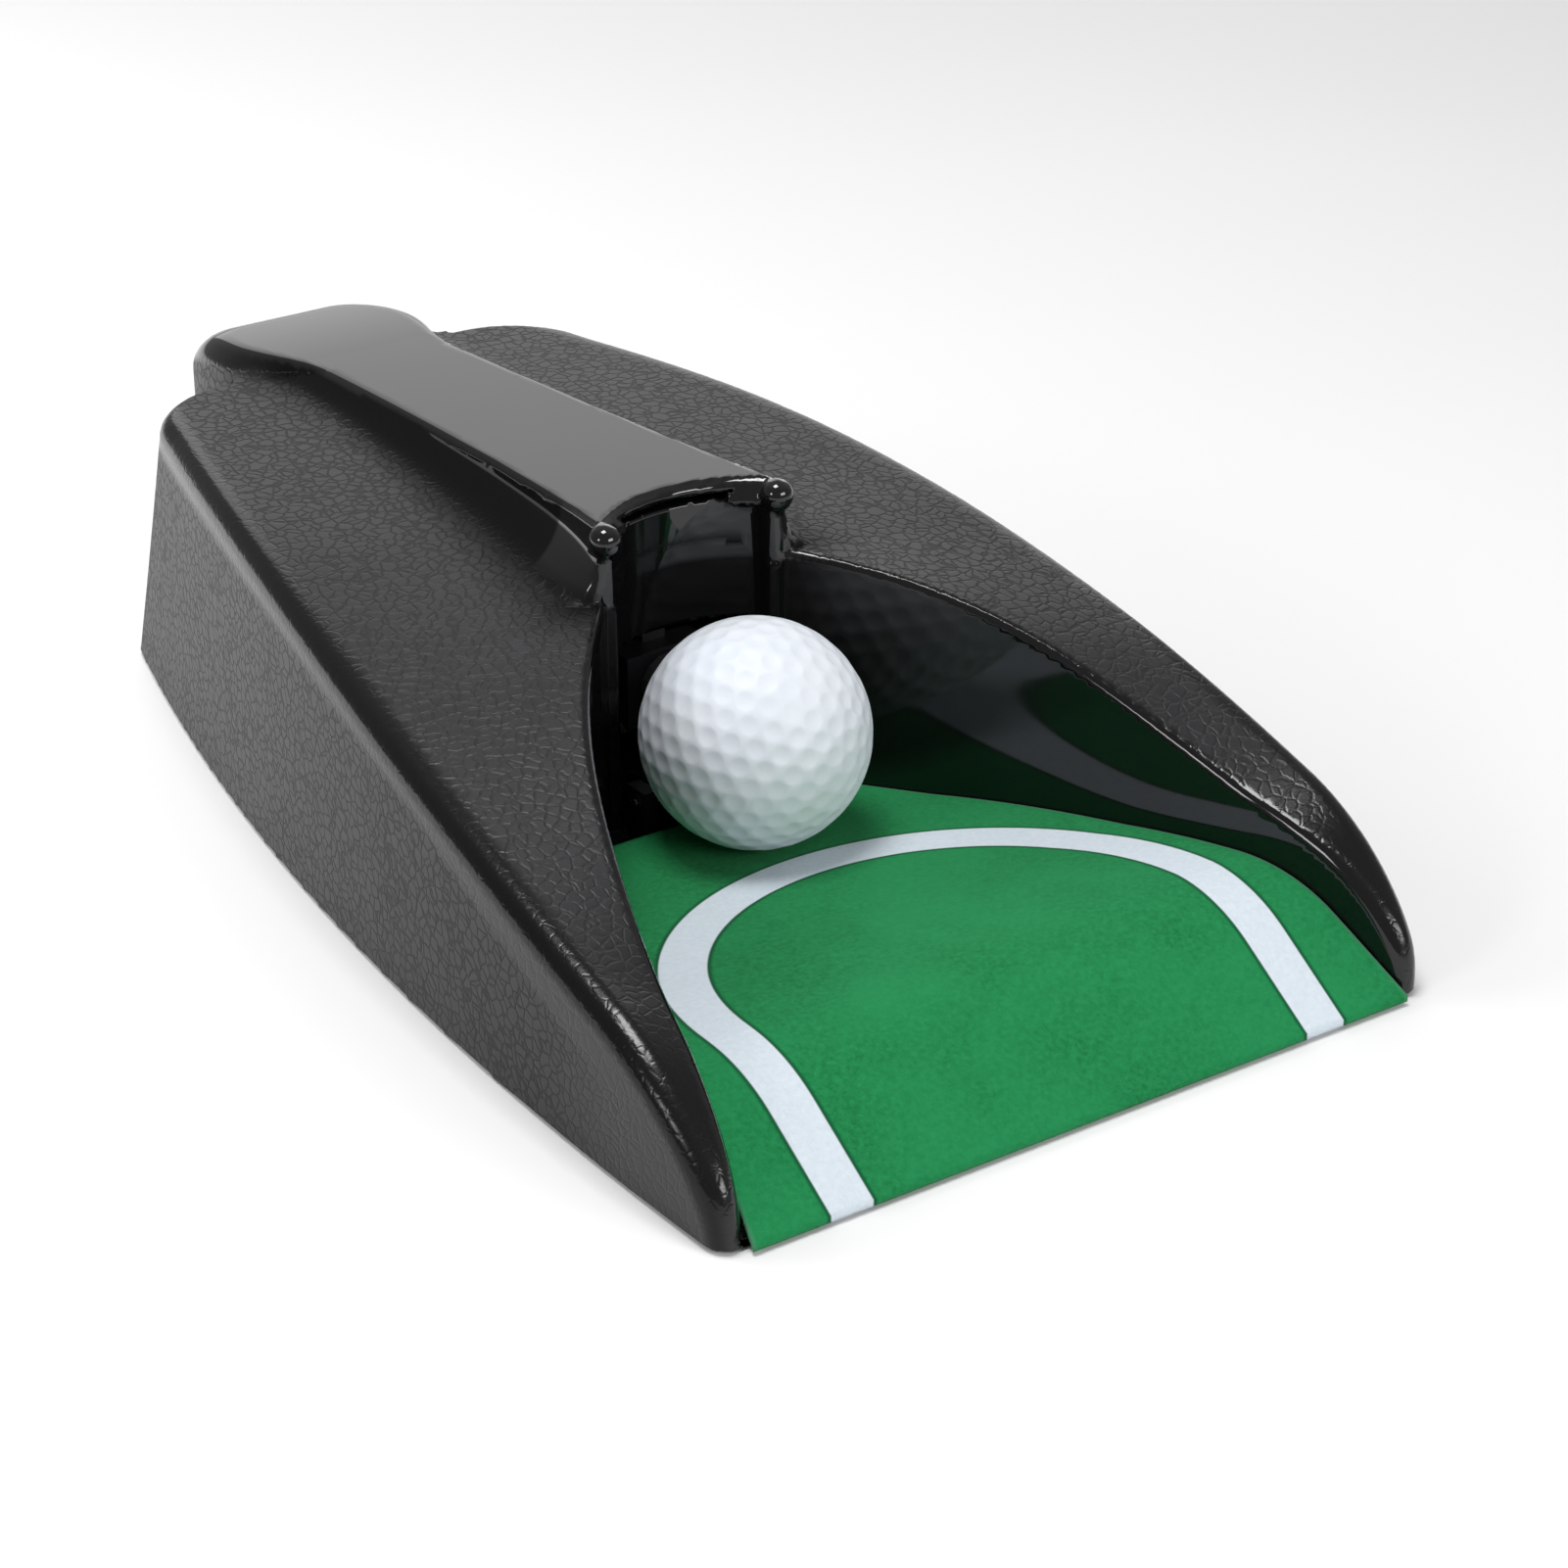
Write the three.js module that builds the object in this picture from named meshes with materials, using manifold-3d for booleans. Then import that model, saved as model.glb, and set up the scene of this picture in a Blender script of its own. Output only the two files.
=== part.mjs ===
// Automatic putting cup: a ball-return ramp for putting practice. The golf ball rolls up a felt
// ramp between two shoulders and stops at the mouth of a hood, where it presses a trigger lever.
// A battery motor then turns a cam wheel that cocks a sprung hammer, and the hammer knocks the
// ball back down the ramp.
//
// Millimetres. Inside the machine group, Y is the station: the distance back from the front edge
// of the ramp. X points right, Z points up from the surface that the feet stand on.
// The group is shifted so that the finished origin lies under the middle of the machine.

import * as THREE from 'three';
import Module from 'manifold-3d';
import { mergeVertices } from 'three/addons/utils/BufferGeometryUtils.js';

const manifold = await Module();
manifold.setup();

// ---------------------------------------------------------------- driving dimensions

const LENGTH = 284;             // front edge of the ramp to the back of the tail
const WALL = 2.6;               // thickness of the moulded housing
const GAP = 0.3;                // clearance between pieces that touch
const RIM_HEIGHT = 0.5;         // the housing rim hangs just clear of the floor
const SKY = 100;                // any height well above the machine

// Plan of the flanks: one flat arc at the ground and one along the ridge above it.
const WIDEST_STATION = 30;
const GROUND_HALF_WIDTH = 75.8;
const GROUND_ARC_RADIUS = 833;
const RIDGE_HALF_WIDTH = 77.2;
const RIDGE_ARC_RADIUS = 735;
const RIDGE_ROUND = 6;          // radius of the rounded edge between flank and shoulder

// Tips at the front, where the shoulders come down to the floor.
const NOSE_LENGTH = 34;         // the height runs down over this length, as a quarter ellipse
const TIP_LENGTH = 8;           // the flank rounds in over this length
const TIP_INSET = 3;

// Chute between the shoulders.
const CHUTE_OVERRUN = 1.5;      // the shoulder keeps climbing this far past the chute wall
const CHUTE_WALL = WALL * 1.25;
const CHUTE_STEPS = 14;         // straight pieces along each side of its plan

// Back wall of the shoulders: it leans outwards towards the floor.
const BACK_TOP = 248;
const BACK_LEAN = 18;
const LEAN_START = 215;
const SHOULDER_LEVEL = 61;
const BACK_CORNER_TOP = 15;     // the shoulders' back corners are well rounded at the top
const BACK_CORNER_FLOOR = 3;    // and almost square at the floor

// Hood: the raised spine over the mechanism.
const HOOD_FRONT = 118;
const HOOD_FLAT_END = 258;      // where the top starts to round down at the back
const HOOD_END_RADIUS = 26;
const MOUTH_HALF_WIDTH = 16.5;
const MOUTH_ROOF = 67;          // underside of the lip over the mouth
const MOUTH_DEPTH = 125;
const SCOOP_HALF_CHORD = 18;    // the front edge of the hood top is scooped back as an arc
const SCOOP_DEPTH = 7.5;
const SCOOP_FRONT = HOOD_FRONT + 2;
const SCOOP_RADIUS = (SCOOP_HALF_CHORD ** 2 + SCOOP_DEPTH ** 2) / (2 * SCOOP_DEPTH);
const SCOOP_CENTRE = SCOOP_FRONT + SCOOP_DEPTH - SCOOP_RADIUS;
const POCKET_SET_BACK = 0.8;    // the wall of the mouth stands this far behind the scooped edge
const POCKET_WALL = 1.8;
const POCKET_BOTTOM = 44;       // below it the mouth is open for the hammer
const FILLET_FRONT = 3;         // concave fillet between hood and shoulder, at the mouth
const FILLET_BACK = 11;         // and further back
const FILLET_GROWTH = 18;

// Tail: the narrow end behind the shoulders.
const TAIL_START = 236;
const TAIL_HALF_WIDTH = 20;
const TAIL_CORNER = 10;
const HOOD_SINK = 0.8;          // inside the tail, the hood of the body drops by this much
const HOOD_SINK_LENGTH = 4;
const TAIL_STEP = 7;            // how far its side starts below the hood top

// Ramp.
const DECK_END = 115;
const DECK_THICKNESS = 2.4;
const FELT_THICKNESS = 1.2;
const FELT_END = 112;
const FELT_SIDE_GAP = 0.5;
const LIP_HEIGHT = 1.9;         // top of the felt at the front edge

// Golf ball: the standard 42.67 mm ball, at rest in the seat.
const BALL_RADIUS = 21.335;
const BALL_STATION = 99.7;
const BALL_CLEARANCE = 0.15;

// Base plate, feet and case screws.
const BASE_BOTTOM = 2;
const BASE_THICKNESS = 2;
const BASE_TOP = BASE_BOTTOM + BASE_THICKNESS;
const BASE_FRONT = 22;
const BASE_BACK = 257;
const BASE_INSET = WALL + 0.9;  // from the outside of the housing to the edge of the plate
const TAIL_FLOOR_END = 280.6;
const FOOT_RADIUS = 6;
const FOOT_PLACES = [[-56, 62], [56, 62], [-44, 176], [44, 176]];
const SCREW_PLACES = [[-62, 34], [62, 34], [-60, 110], [60, 110], [-41, 236], [41, 236]];
const BOSS_RADIUS = 3.6;
const PILOT_RADIUS = 1.4;
const SCREW_HOLE = 1.8;
const SCREW_LENGTH = 13;

// Batteries: four AA cells side by side behind a hinged door.
const CELL_RADIUS = 7.1;
const CELL_LENGTH = 49.5;
const CELL_PITCH = 15.4;
const CELL_FRONT = 200.5;
const BAY_HALF_WIDTH = 33;
const BAY_FRONT = 196;
const BAY_BACK = 255;
const BAY_WALL = 1.8;
const BAY_WALL_TOP = 13;
const DOOR_HINGE_RADIUS = 1.5;

// Mechanism between two side plates. Every axis runs along X at a (station, height).
const HAMMER_AXIS = [135.5, 60];
const CAM_AXIS = [168, 38];
const SECOND_AXIS = [191, 38];
const FIRST_AXIS = [209, 46.7];
const MOTOR_AXIS = [226, 38.2];
const TRIGGER_AXIS = [123, 13];
const SPACER_PLACES = [[156, 12], [186, 12]];
const PLATE_LEFT = [-9.5, -8];
const PLATE_RIGHT = [12.5, 14];
const AXLE_RADIUS = 1.5;
const AXLE_HOLE = 1.85;
const SHAFT_RADIUS = 1;
const SHAFT_HOLE = 1.3;
const SPACER_RADIUS = 2.8;
const SPACER_END_RADIUS = 1.2;
const SPACER_HOLE = 1.6;
const GEAR_MODULE = 1;
const CAM_TEETH = 36;
const LARGE_TEETH = 30;
const SMALL_TEETH = 10;
const PINION_TEETH = 8;
const LOBE_RADIUS = 20.5;
const LOBE_REST_ANGLE = 225;    // degrees from the +Y direction, turning towards +Z
const LOBE_BASE_RADIUS = 7;
const LOBE_HALF_ROOT = 1.2;     // half angles of the lobe at its root and tip, in radians
const LOBE_HALF_TIP = 0.14;
const CAM_HUB = [-7, 11.5];
const CAM_HUB_RADIUS = 5;
const GEAR_HUB_RADIUS = 3.2;
const MOTOR_RADIUS = 10;
const MOTOR_LENGTH = 25;
const HAMMER_SPAN = [-2.5, 2.5];
const HAMMER_BOSS = [-6, 10];
const HEAD_FRONT = 128;         // front face of the hammer head, behind the rubber pad
const SPRING_TURNS = 2.5;
const SPRING_COIL_RADIUS = 4.8;
const SPRING_WIRE_RADIUS = 0.45;
const TRIGGER_PIN_RADIUS = 1;
const TRIGGER_PIN_HOLE = 1.35;
const TRIGGER_SWITCH_STATION = 132;
const LEAD_RADIUS = 0.7;

// Colours and finishes.
const BLACK_ABS = { color: 0x1d1d20, roughness: 0.42, metalness: 0 };
const BLACK_PLAIN = { color: 0x17171a, roughness: 0.6, metalness: 0 };
const GREEN_FELT = { color: 0x1f8a3f, roughness: 0.95, metalness: 0 };
const WHITE_BALL = { color: 0xf2f4f8, roughness: 0.3, metalness: 0 };
const BLACK_RUBBER = { color: 0x101010, roughness: 0.9, metalness: 0 };
const STEEL = { color: 0xb9bcc2, roughness: 0.3, metalness: 1 };
const WHITE_ACETAL = { color: 0xe9e6da, roughness: 0.45, metalness: 0 };
const NICKEL = { color: 0xc9c6bd, roughness: 0.35, metalness: 1 };
const CELL_WRAP = { color: 0x30435e, roughness: 0.4, metalness: 0.2 };
const DARK_GREY_ABS = { color: 0x26272b, roughness: 0.5, metalness: 0 };
const RED_LEAD = { color: 0xb3231c, roughness: 0.5, metalness: 0 };
const BLACK_LEAD = { color: 0x141416, roughness: 0.5, metalness: 0 };

// ---------------------------------------------------------------- curves of the body

// A smooth curve through a few (station, value) points, read at any station.
function smoothProfile(points) {
  const slopes = points.map((point, i) => {
    const before = points[Math.max(i - 1, 0)];
    const after = points[Math.min(i + 1, points.length - 1)];
    return (after[1] - before[1]) / (after[0] - before[0]);
  });
  return (station) => {
    const last = points.length - 2;
    let i = points.findIndex((point, k) => k > 0 && station <= point[0]) - 1;
    if (i < 0) i = station <= points[0][0] ? 0 : last;
    const span = points[i + 1][0] - points[i][0];
    const t = Math.min(Math.max((station - points[i][0]) / span, 0), 1);
    const rise = points[i + 1][1] - points[i][1];
    const start = span * slopes[i];
    const end = span * slopes[i + 1];
    return points[i][1] + t * start + t * t * (3 * rise - 2 * start - end)
      + t * t * t * (start + end - 2 * rise);
  };
}

// Height of the shoulder beside the ramp and hood, and of the outer ridge, before the nose.
const innerBody = smoothProfile([
  [0, 26], [22, 25.6], [34, 27.8], [46, 32.8], [76, 46.6], [98, 54.4], [118, 58.6], [150, 60.6],
  [200, 62], [250, 62],
]);
const ridgeBody = smoothProfile([
  [0, 22], [24, 28.5], [59, 38], [83, 44], [119, 51.8], [144, 56.2], [170, 59.4], [199, 61.2],
  [250, 61.5],
]);
const hoodTop = smoothProfile([[118, 72.2], [162, 70.4], [220, 67.8], [258, 65.6]]);
const hoodHalfWidth = smoothProfile([[118, 20], [140, 18], [170, 16.4], [220, 15], [284, 14]]);
const chuteHalfWidth = smoothProfile([
  [0, 70.6], [22, 65.6], [50, 58.2], [77, 48.2], [98, 36.2], [118, 19.8],
]);

function quarterEllipse(distance, length) {
  const t = Math.min(Math.max(1 - distance / length, 0), 1);
  return Math.sqrt(1 - t * t);
}

function arcHalfWidth(station, halfWidth, radius) {
  const along = station - WIDEST_STATION;
  const tip = TIP_INSET * (1 - quarterEllipse(station, TIP_LENGTH));
  return halfWidth - radius + Math.sqrt(radius * radius - along * along) - tip;
}

// How far the back wall leans out at a given height, for the section that starts at a station.
function backLean(station, height) {
  const share = Math.max((station - LEAN_START) / (BACK_TOP - LEAN_START), 0);
  return BACK_LEAN * share * Math.max(1 - height / SHOULDER_LEVEL, 0);
}

// Behind the start of the tail the hood of the body sinks just inside the tail.
function hoodSink(station) {
  return HOOD_SINK * Math.min(Math.max((station - TAIL_START) / HOOD_SINK_LENGTH, 0), 1);
}

function backCorner(station, radius) {
  return radius * (1 - quarterEllipse(BACK_TOP - station, radius));
}

// Height of the felt surface. It climbs from the lip, rounds over a crest and falls gently to
// the seat, where it turns up a little to hold the ball.
const rampPath = new THREE.Path();
rampPath.moveTo(0, LIP_HEIGHT);
rampPath.lineTo(16, 12.3);
rampPath.quadraticCurveTo(25, 18.3, 36, 17.9);
rampPath.quadraticCurveTo(48, 17.2, 60, 15.6);
rampPath.lineTo(92, 12.6);
rampPath.quadraticCurveTo(101, 11.5, 118, 12.8);
const rampPoints = rampPath.getPoints(6);

function rampHeight(station) {
  const after = rampPoints.findIndex((point) => point.x > station);
  const a = rampPoints[after - 1];
  const b = rampPoints[after];
  return a.y + (b.y - a.y) * (station - a.x) / (b.x - a.x);
}

// ---------------------------------------------------------------- solids

function toManifold(geometry) {
  const bare = geometry.clone();
  bare.deleteAttribute('normal');
  bare.deleteAttribute('uv');
  const merged = mergeVertices(bare);
  return new manifold.Manifold(new manifold.Mesh({
    numProp: 3,
    vertProperties: new Float32Array(merged.attributes.position.array),
    triVerts: new Uint32Array(merged.index.array),
  }));
}

function toGeometry(solid) {
  const mesh = solid.getMesh();
  const geometry = new THREE.BufferGeometry();
  geometry.setAttribute('position', new THREE.BufferAttribute(mesh.vertProperties, 3));
  geometry.setIndex(new THREE.BufferAttribute(mesh.triVerts, 1));
  return geometry;
}

// An outline in (station, height), swept across the machine from one X to another.
function acrossX(shape, [from, to]) {
  const geometry = new THREE.ExtrudeGeometry(shape, {
    depth: to - from, bevelEnabled: false, curveSegments: 5,
  });
  const turn = new THREE.Matrix4().makeBasis(
    new THREE.Vector3(0, 1, 0), new THREE.Vector3(0, 0, 1), new THREE.Vector3(1, 0, 0),
  );
  return geometry.applyMatrix4(turn).translate(from, 0, 0);
}

// A plan outline in (x, station), raised from one height to another.
function upZ(shape, [from, to]) {
  const geometry = new THREE.ExtrudeGeometry(shape, {
    depth: to - from, bevelEnabled: false, curveSegments: 5,
  });
  return geometry.translate(0, 0, from);
}

function polygon(points) {
  return new THREE.Shape(points.map(([a, b]) => new THREE.Vector2(a, b)));
}

function box([x0, x1], [y0, y1], [z0, z1]) {
  const geometry = new THREE.BoxGeometry(x1 - x0, y1 - y0, z1 - z0);
  return geometry.translate((x0 + x1) / 2, (y0 + y1) / 2, (z0 + z1) / 2);
}

function rodAlongX([station, height], radius, [from, to], sides = 16) {
  const geometry = new THREE.CylinderGeometry(radius, radius, to - from, sides);
  return geometry.rotateZ(Math.PI / 2).translate((from + to) / 2, station, height);
}

function rodAlongY([x, z], radius, [from, to], sides = 20) {
  const geometry = new THREE.CylinderGeometry(radius, radius, to - from, sides);
  return geometry.translate(x, (from + to) / 2, z);
}

function rodAlongZ([x, y], radius, [from, to], sides = 16) {
  const geometry = new THREE.CylinderGeometry(radius, radius, to - from, sides);
  return geometry.rotateX(Math.PI / 2).translate(x, y, (from + to) / 2);
}

function wireAlong(path, radius, steps) {
  const section = new THREE.Shape();
  section.absarc(0, 0, radius, 0, Math.PI * 2, false);
  return new THREE.ExtrudeGeometry(section, {
    steps, curveSegments: 3, bevelEnabled: false, extrudePath: path,
  });
}

// A profile of (radius, distance along the axis) turned round the Y axis.
function turned(profile, sides) {
  return new THREE.LatheGeometry(profile.map(([r, along]) => new THREE.Vector2(r, along)), sides);
}

function join(first, ...others) {
  return others.reduce((solid, geometry) => solid.add(toManifold(geometry)), toManifold(first));
}

function cut(solid, ...cutters) {
  return cutters.reduce((left, geometry) => left.subtract(toManifold(geometry)), solid);
}

// A closed skin through mirrored rings of points, with flat caps on the first and last ring.
// Each cap is a ladder of faces between the right half of the ring and its mirror image.
function loft(rings) {
  const count = rings[0].length;
  const middle = (count - 1) / 2;
  const positions = rings.flat().flatMap((point) => [point.x, point.y, point.z]);
  const index = [];
  for (let r = 0; r < rings.length - 1; r += 1) {
    for (let i = 0; i < count; i += 1) {
      const a = r * count + i;
      const b = r * count + (i + 1) % count;
      index.push(a, b + count, b, a, a + count, b + count);
    }
  }
  const last = (rings.length - 1) * count;
  for (let i = 0; i < middle; i += 1) {
    const right = [i, i + 1];
    const left = [count - 1 - i, count - 2 - i];
    index.push(right[0], right[1], left[0]);
    index.push(last + right[0], last + left[0], last + right[1]);
    if (i === middle - 1) continue;
    index.push(right[1], left[1], left[0]);
    index.push(last + right[1], last + left[0], last + left[1]);
  }
  const geometry = new THREE.BufferGeometry();
  geometry.setAttribute('position', new THREE.Float32BufferAttribute(positions, 3));
  geometry.setIndex(index);
  return geometry;
}

// A half section given from the floor up to the middle line becomes a full ring.
function mirroredRing(half, placeY) {
  const right = half.map(([x, z]) => new THREE.Vector3(x, placeY(z), z));
  const left = half.slice(0, -1).reverse().map(([x, z]) => new THREE.Vector3(-x, placeY(z), z));
  return [...right, ...left];
}

// ---------------------------------------------------------------- housing

// Concave quarter arc from the shoulder up to the edge of the hood top, then the middle.
function hoodPoints(halfWidth, top, level, radius, steps) {
  const points = [];
  for (let i = 0; i <= steps; i += 1) {
    const angle = Math.PI / 2 * i / steps;
    const x = halfWidth + radius * (1 - Math.sin(angle));
    const z = level + (top - level) * (1 - Math.cos(angle));
    points.push([x, z]);
  }
  points.push([0, top]);
  return points;
}

function bodySection(station, inset, bottom, hasHood, steps) {
  const nose = quarterEllipse(station, NOSE_LENGTH);
  const floorStation = station + backLean(station, bottom);
  const ground = arcHalfWidth(floorStation, GROUND_HALF_WIDTH, GROUND_ARC_RADIUS)
    - backCorner(station, BACK_CORNER_FLOOR) - inset;
  const ridge = arcHalfWidth(station, RIDGE_HALF_WIDTH, RIDGE_ARC_RADIUS)
    - backCorner(station, BACK_CORNER_TOP) - inset;
  const ridgeTop = ridgeBody(station) * nose - inset;
  const level = innerBody(station) * nose - inset;
  const chute = chuteHalfWidth(Math.min(station, HOOD_FRONT));
  const round = Math.min(RIDGE_ROUND, (ridge + inset - chute) * 0.6, ridgeTop * 0.8);
  const points = [[ground, bottom]];
  for (let i = 0; i <= steps; i += 1) {
    const angle = Math.PI / 2 * i / steps;
    points.push([ridge - round * (1 - Math.cos(angle)), ridgeTop - round * (1 - Math.sin(angle))]);
  }
  const growth = 1 - quarterEllipse(station - HOOD_FRONT, FILLET_GROWTH);
  const radius = FILLET_BACK - (FILLET_BACK - FILLET_FRONT) * growth;
  const halfWidth = hasHood ? hoodHalfWidth(station) - inset : chute - CHUTE_OVERRUN - radius;
  const top = hasHood ? hoodTop(station) - inset : level + 0.05;
  const sunk = hasHood ? hoodSink(station) : 0;
  return [...points, ...hoodPoints(halfWidth - sunk, top - sunk, level, radius, steps)];
}

function bodyLoft(stations, inset, bottom, steps) {
  const rings = stations.map((station) => {
    const hasHood = station >= HOOD_FRONT;
    const placeY = (z) => station + backLean(station, z);
    return mirroredRing(bodySection(station, inset, bottom, hasHood, steps), placeY);
  });
  return loft(rings);
}

function tailLoft(stations, inset, bottom, steps) {
  const rings = stations.map((station) => {
    const fall = Math.max(station + inset - HOOD_FLAT_END, 0);
    const drop = HOOD_END_RADIUS - Math.sqrt(Math.max(HOOD_END_RADIUS ** 2 - fall * fall, 0));
    const corner = TAIL_CORNER * (1 - quarterEllipse(LENGTH - station - inset, TAIL_CORNER));
    const top = hoodTop(Math.min(station, HOOD_FLAT_END)) - drop - inset;
    const side = TAIL_HALF_WIDTH - corner - inset;
    const hood = Math.min(hoodHalfWidth(station) - inset, side - 0.5);
    const half = [[side, bottom], ...hoodPoints(hood, top, top - TAIL_STEP, side - hood, steps)];
    return mirroredRing(half, () => station);
  });
  return loft(rings);
}

// Plan of the chute between the shoulders, up to the mouth. extra widens it on both sides.
function chutePlan(extra, front, back) {
  const right = [];
  for (let i = 0; i <= CHUTE_STEPS; i += 1) {
    const station = front + (back - front) * i / CHUTE_STEPS;
    right.push([chuteHalfWidth(Math.max(station, 0)) + extra, station]);
  }
  const left = right.map(([x, y]) => [-x, y]).reverse();
  return polygon([...right, ...left]);
}

// Everything above a surface that follows the ramp at a given depth below the felt top.
function aboveRamp(depth, back) {
  const profile = rampPoints.filter((point) => point.x < back).map((point) => [
    point.x, point.y - depth,
  ]);
  const front = [-5, LIP_HEIGHT - depth - 3.5];
  const end = rampHeight(Math.min(back, 117)) - depth;
  return acrossX(polygon([front, ...profile, [back, end], [back, SKY], [-5, SKY]]), [-90, 90]);
}

// Everything in front of the scooped front edge of the hood top.
function scoopPlan() {
  const shape = new THREE.Shape();
  const half = Math.asin(SCOOP_HALF_CHORD / SCOOP_RADIUS);
  shape.moveTo(-SCOOP_HALF_CHORD, HOOD_FRONT - 4);
  shape.lineTo(SCOOP_HALF_CHORD, HOOD_FRONT - 4);
  shape.lineTo(SCOOP_HALF_CHORD, SCOOP_FRONT);
  shape.absarc(0, SCOOP_CENTRE, SCOOP_RADIUS, Math.PI / 2 - half, Math.PI / 2 + half, false);
  return shape;
}

// Curved wall behind the ball, under the scooped edge. It ends above the hammer head.
function pocketWall() {
  const inner = SCOOP_RADIUS + POCKET_SET_BACK;
  const outer = inner + POCKET_WALL;
  const half = Math.asin((MOUTH_HALF_WIDTH + 0.6) / outer);
  const shape = new THREE.Shape();
  shape.absarc(0, SCOOP_CENTRE, outer, Math.PI / 2 - half, Math.PI / 2 + half, false);
  shape.absarc(0, SCOOP_CENTRE, inner, Math.PI / 2 + half, Math.PI / 2 - half, true);
  return upZ(shape, [POCKET_BOTTOM, MOUTH_ROOF + 1]);
}

function upperHousing() {
  const frontStations = [0.3, 1.5, 4, 8, 14, 22, 34, 46, 60, 76, 92, 106, HOOD_FRONT - 0.5];
  const hoodStations = [HOOD_FRONT, 123, 130, 145, 170, 195, LEAN_START, TAIL_START - 0.2];
  const backStations = [TAIL_START + HOOD_SINK_LENGTH, 244, 246.5, BACK_TOP];
  const bodyStations = [...frontStations, ...hoodStations, ...backStations];
  const tailStations = [TAIL_START, 250, HOOD_FLAT_END, 265, 272, 278, 282, LENGTH - 0.2];
  const outer = join(bodyLoft(bodyStations, 0, RIM_HEIGHT, 4))
    .add(toManifold(tailLoft(tailStations, 0, RIM_HEIGHT, 3)));

  const innerStations = [
    18, 34, 60, 90, HOOD_FRONT + 2, 132, 170, LEAN_START, 232, 240, BACK_TOP - WALL,
  ];
  const innerTail = [TAIL_START - 4, HOOD_FLAT_END, 268, 276, LENGTH - WALL - 0.2];
  const inner = join(bodyLoft(innerStations, WALL, -1, 2))
    .add(toManifold(tailLoft(innerTail, WALL, -1, 2)));

  const chuteBlock = upZ(chutePlan(CHUTE_WALL, -2, MOUTH_DEPTH), [RIM_HEIGHT, SKY]);
  const chuteWall = toManifold(chuteBlock)
    .intersect(toManifold(aboveRamp(GAP + FELT_THICKNESS + DECK_THICKNESS, MOUTH_DEPTH)))
    .intersect(outer);

  const deckTop = toManifold(aboveRamp(GAP + FELT_THICKNESS, MOUTH_DEPTH + 1));
  const chuteAir = toManifold(upZ(chutePlan(0, -4, HOOD_FRONT), [-1, SKY])).intersect(deckTop);
  const mouthAir = toManifold(box(
    [-MOUTH_HALF_WIDTH, MOUTH_HALF_WIDTH], [DECK_END, MOUTH_DEPTH + 5], [-1, MOUTH_ROOF],
  ));
  const scoopAir = toManifold(upZ(scoopPlan(), [MOUTH_ROOF - 10, SKY]));

  // Each boss runs up into the underside of the shoulder.
  const bosses = SCREW_PLACES.map(([x, y]) => toManifold(
    rodAlongZ([x, y], BOSS_RADIUS, [BASE_TOP + GAP, SKY], 12),
  ).intersect(outer));
  const pilots = SCREW_PLACES.map(([x, y]) => rodAlongZ(
    [x, y], PILOT_RADIUS, [0, BASE_TOP + SCREW_LENGTH], 8,
  ));
  const switchWindow = box([-5.5, 5.5], [LENGTH - 8, LENGTH + 2], [20, 27]);

  let shell = outer.subtract(inner).add(chuteWall);
  for (const boss of bosses) shell = shell.add(boss);
  shell = shell.subtract(chuteAir).subtract(mouthAir).subtract(scoopAir);
  shell = shell.add(toManifold(pocketWall()));
  return cut(shell, ...pilots, switchWindow);
}

// ---------------------------------------------------------------- felt, ball, base and battery bay

function puttingFelt() {
  const top = rampPoints.filter((point) => point.x < FELT_END).map((point) => [point.x, point.y]);
  top.push([FELT_END, rampHeight(FELT_END)]);
  const bottom = top.map(([station, height]) => [station, height - FELT_THICKNESS]).reverse();
  const ribbon = toManifold(acrossX(polygon([...top, ...bottom]), [-90, 90]));
  const plan = upZ(chutePlan(-FELT_SIDE_GAP, -4, HOOD_FRONT), [-5, SKY]);
  return ribbon.intersect(toManifold(plan));
}

function golfBall() {
  const height = rampHeight(BALL_STATION) + BALL_RADIUS + BALL_CLEARANCE;
  return new THREE.IcosahedronGeometry(BALL_RADIUS, 5).translate(0, BALL_STATION, height);
}

// Plan outline of the base plate, inside the housing walls.
function basePlan() {
  const steps = 8;
  const right = [];
  for (let i = 0; i <= steps; i += 1) {
    const station = BASE_FRONT + (BASE_BACK - BASE_FRONT) * i / steps;
    const flank = arcHalfWidth(station, GROUND_HALF_WIDTH, GROUND_ARC_RADIUS);
    right.push([flank - BASE_INSET, station]);
  }
  const tail = TAIL_HALF_WIDTH - BASE_INSET;
  right.push([tail, BASE_BACK], [tail, TAIL_FLOOR_END - TAIL_CORNER]);
  right.push([tail - TAIL_CORNER + WALL, TAIL_FLOOR_END]);
  const left = right.map(([x, y]) => [-x, y]).reverse();
  return polygon([...right, ...left]);
}

function bayRing(inset, [bottom, top]) {
  const half = BAY_HALF_WIDTH - inset;
  return box([-half, half], [BAY_FRONT + inset, BAY_BACK - inset], [bottom, top]);
}

function basePlate() {
  const bayWalls = bayRing(-BAY_WALL, [BASE_BOTTOM, BAY_WALL_TOP]);
  const lugs = [-1, 1].map((side) => box(
    [side * 9.5 - 1.5, side * 9.5 + 1.5], [120, 126], [BASE_BOTTOM, TRIGGER_AXIS[1] + 3],
  ));
  const plate = join(upZ(basePlan(), [BASE_BOTTOM, BASE_TOP]), bayWalls, ...lugs);
  const screwHoles = SCREW_PLACES.map((place) => rodAlongZ(place, SCREW_HOLE, [0, BASE_TOP + 1], 8));
  const pinHole = rodAlongX(TRIGGER_AXIS, TRIGGER_PIN_HOLE, [-20, 20], 12);
  return cut(plate, bayRing(0, [0, BAY_WALL_TOP + 1]), ...screwHoles, pinHole);
}

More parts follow.
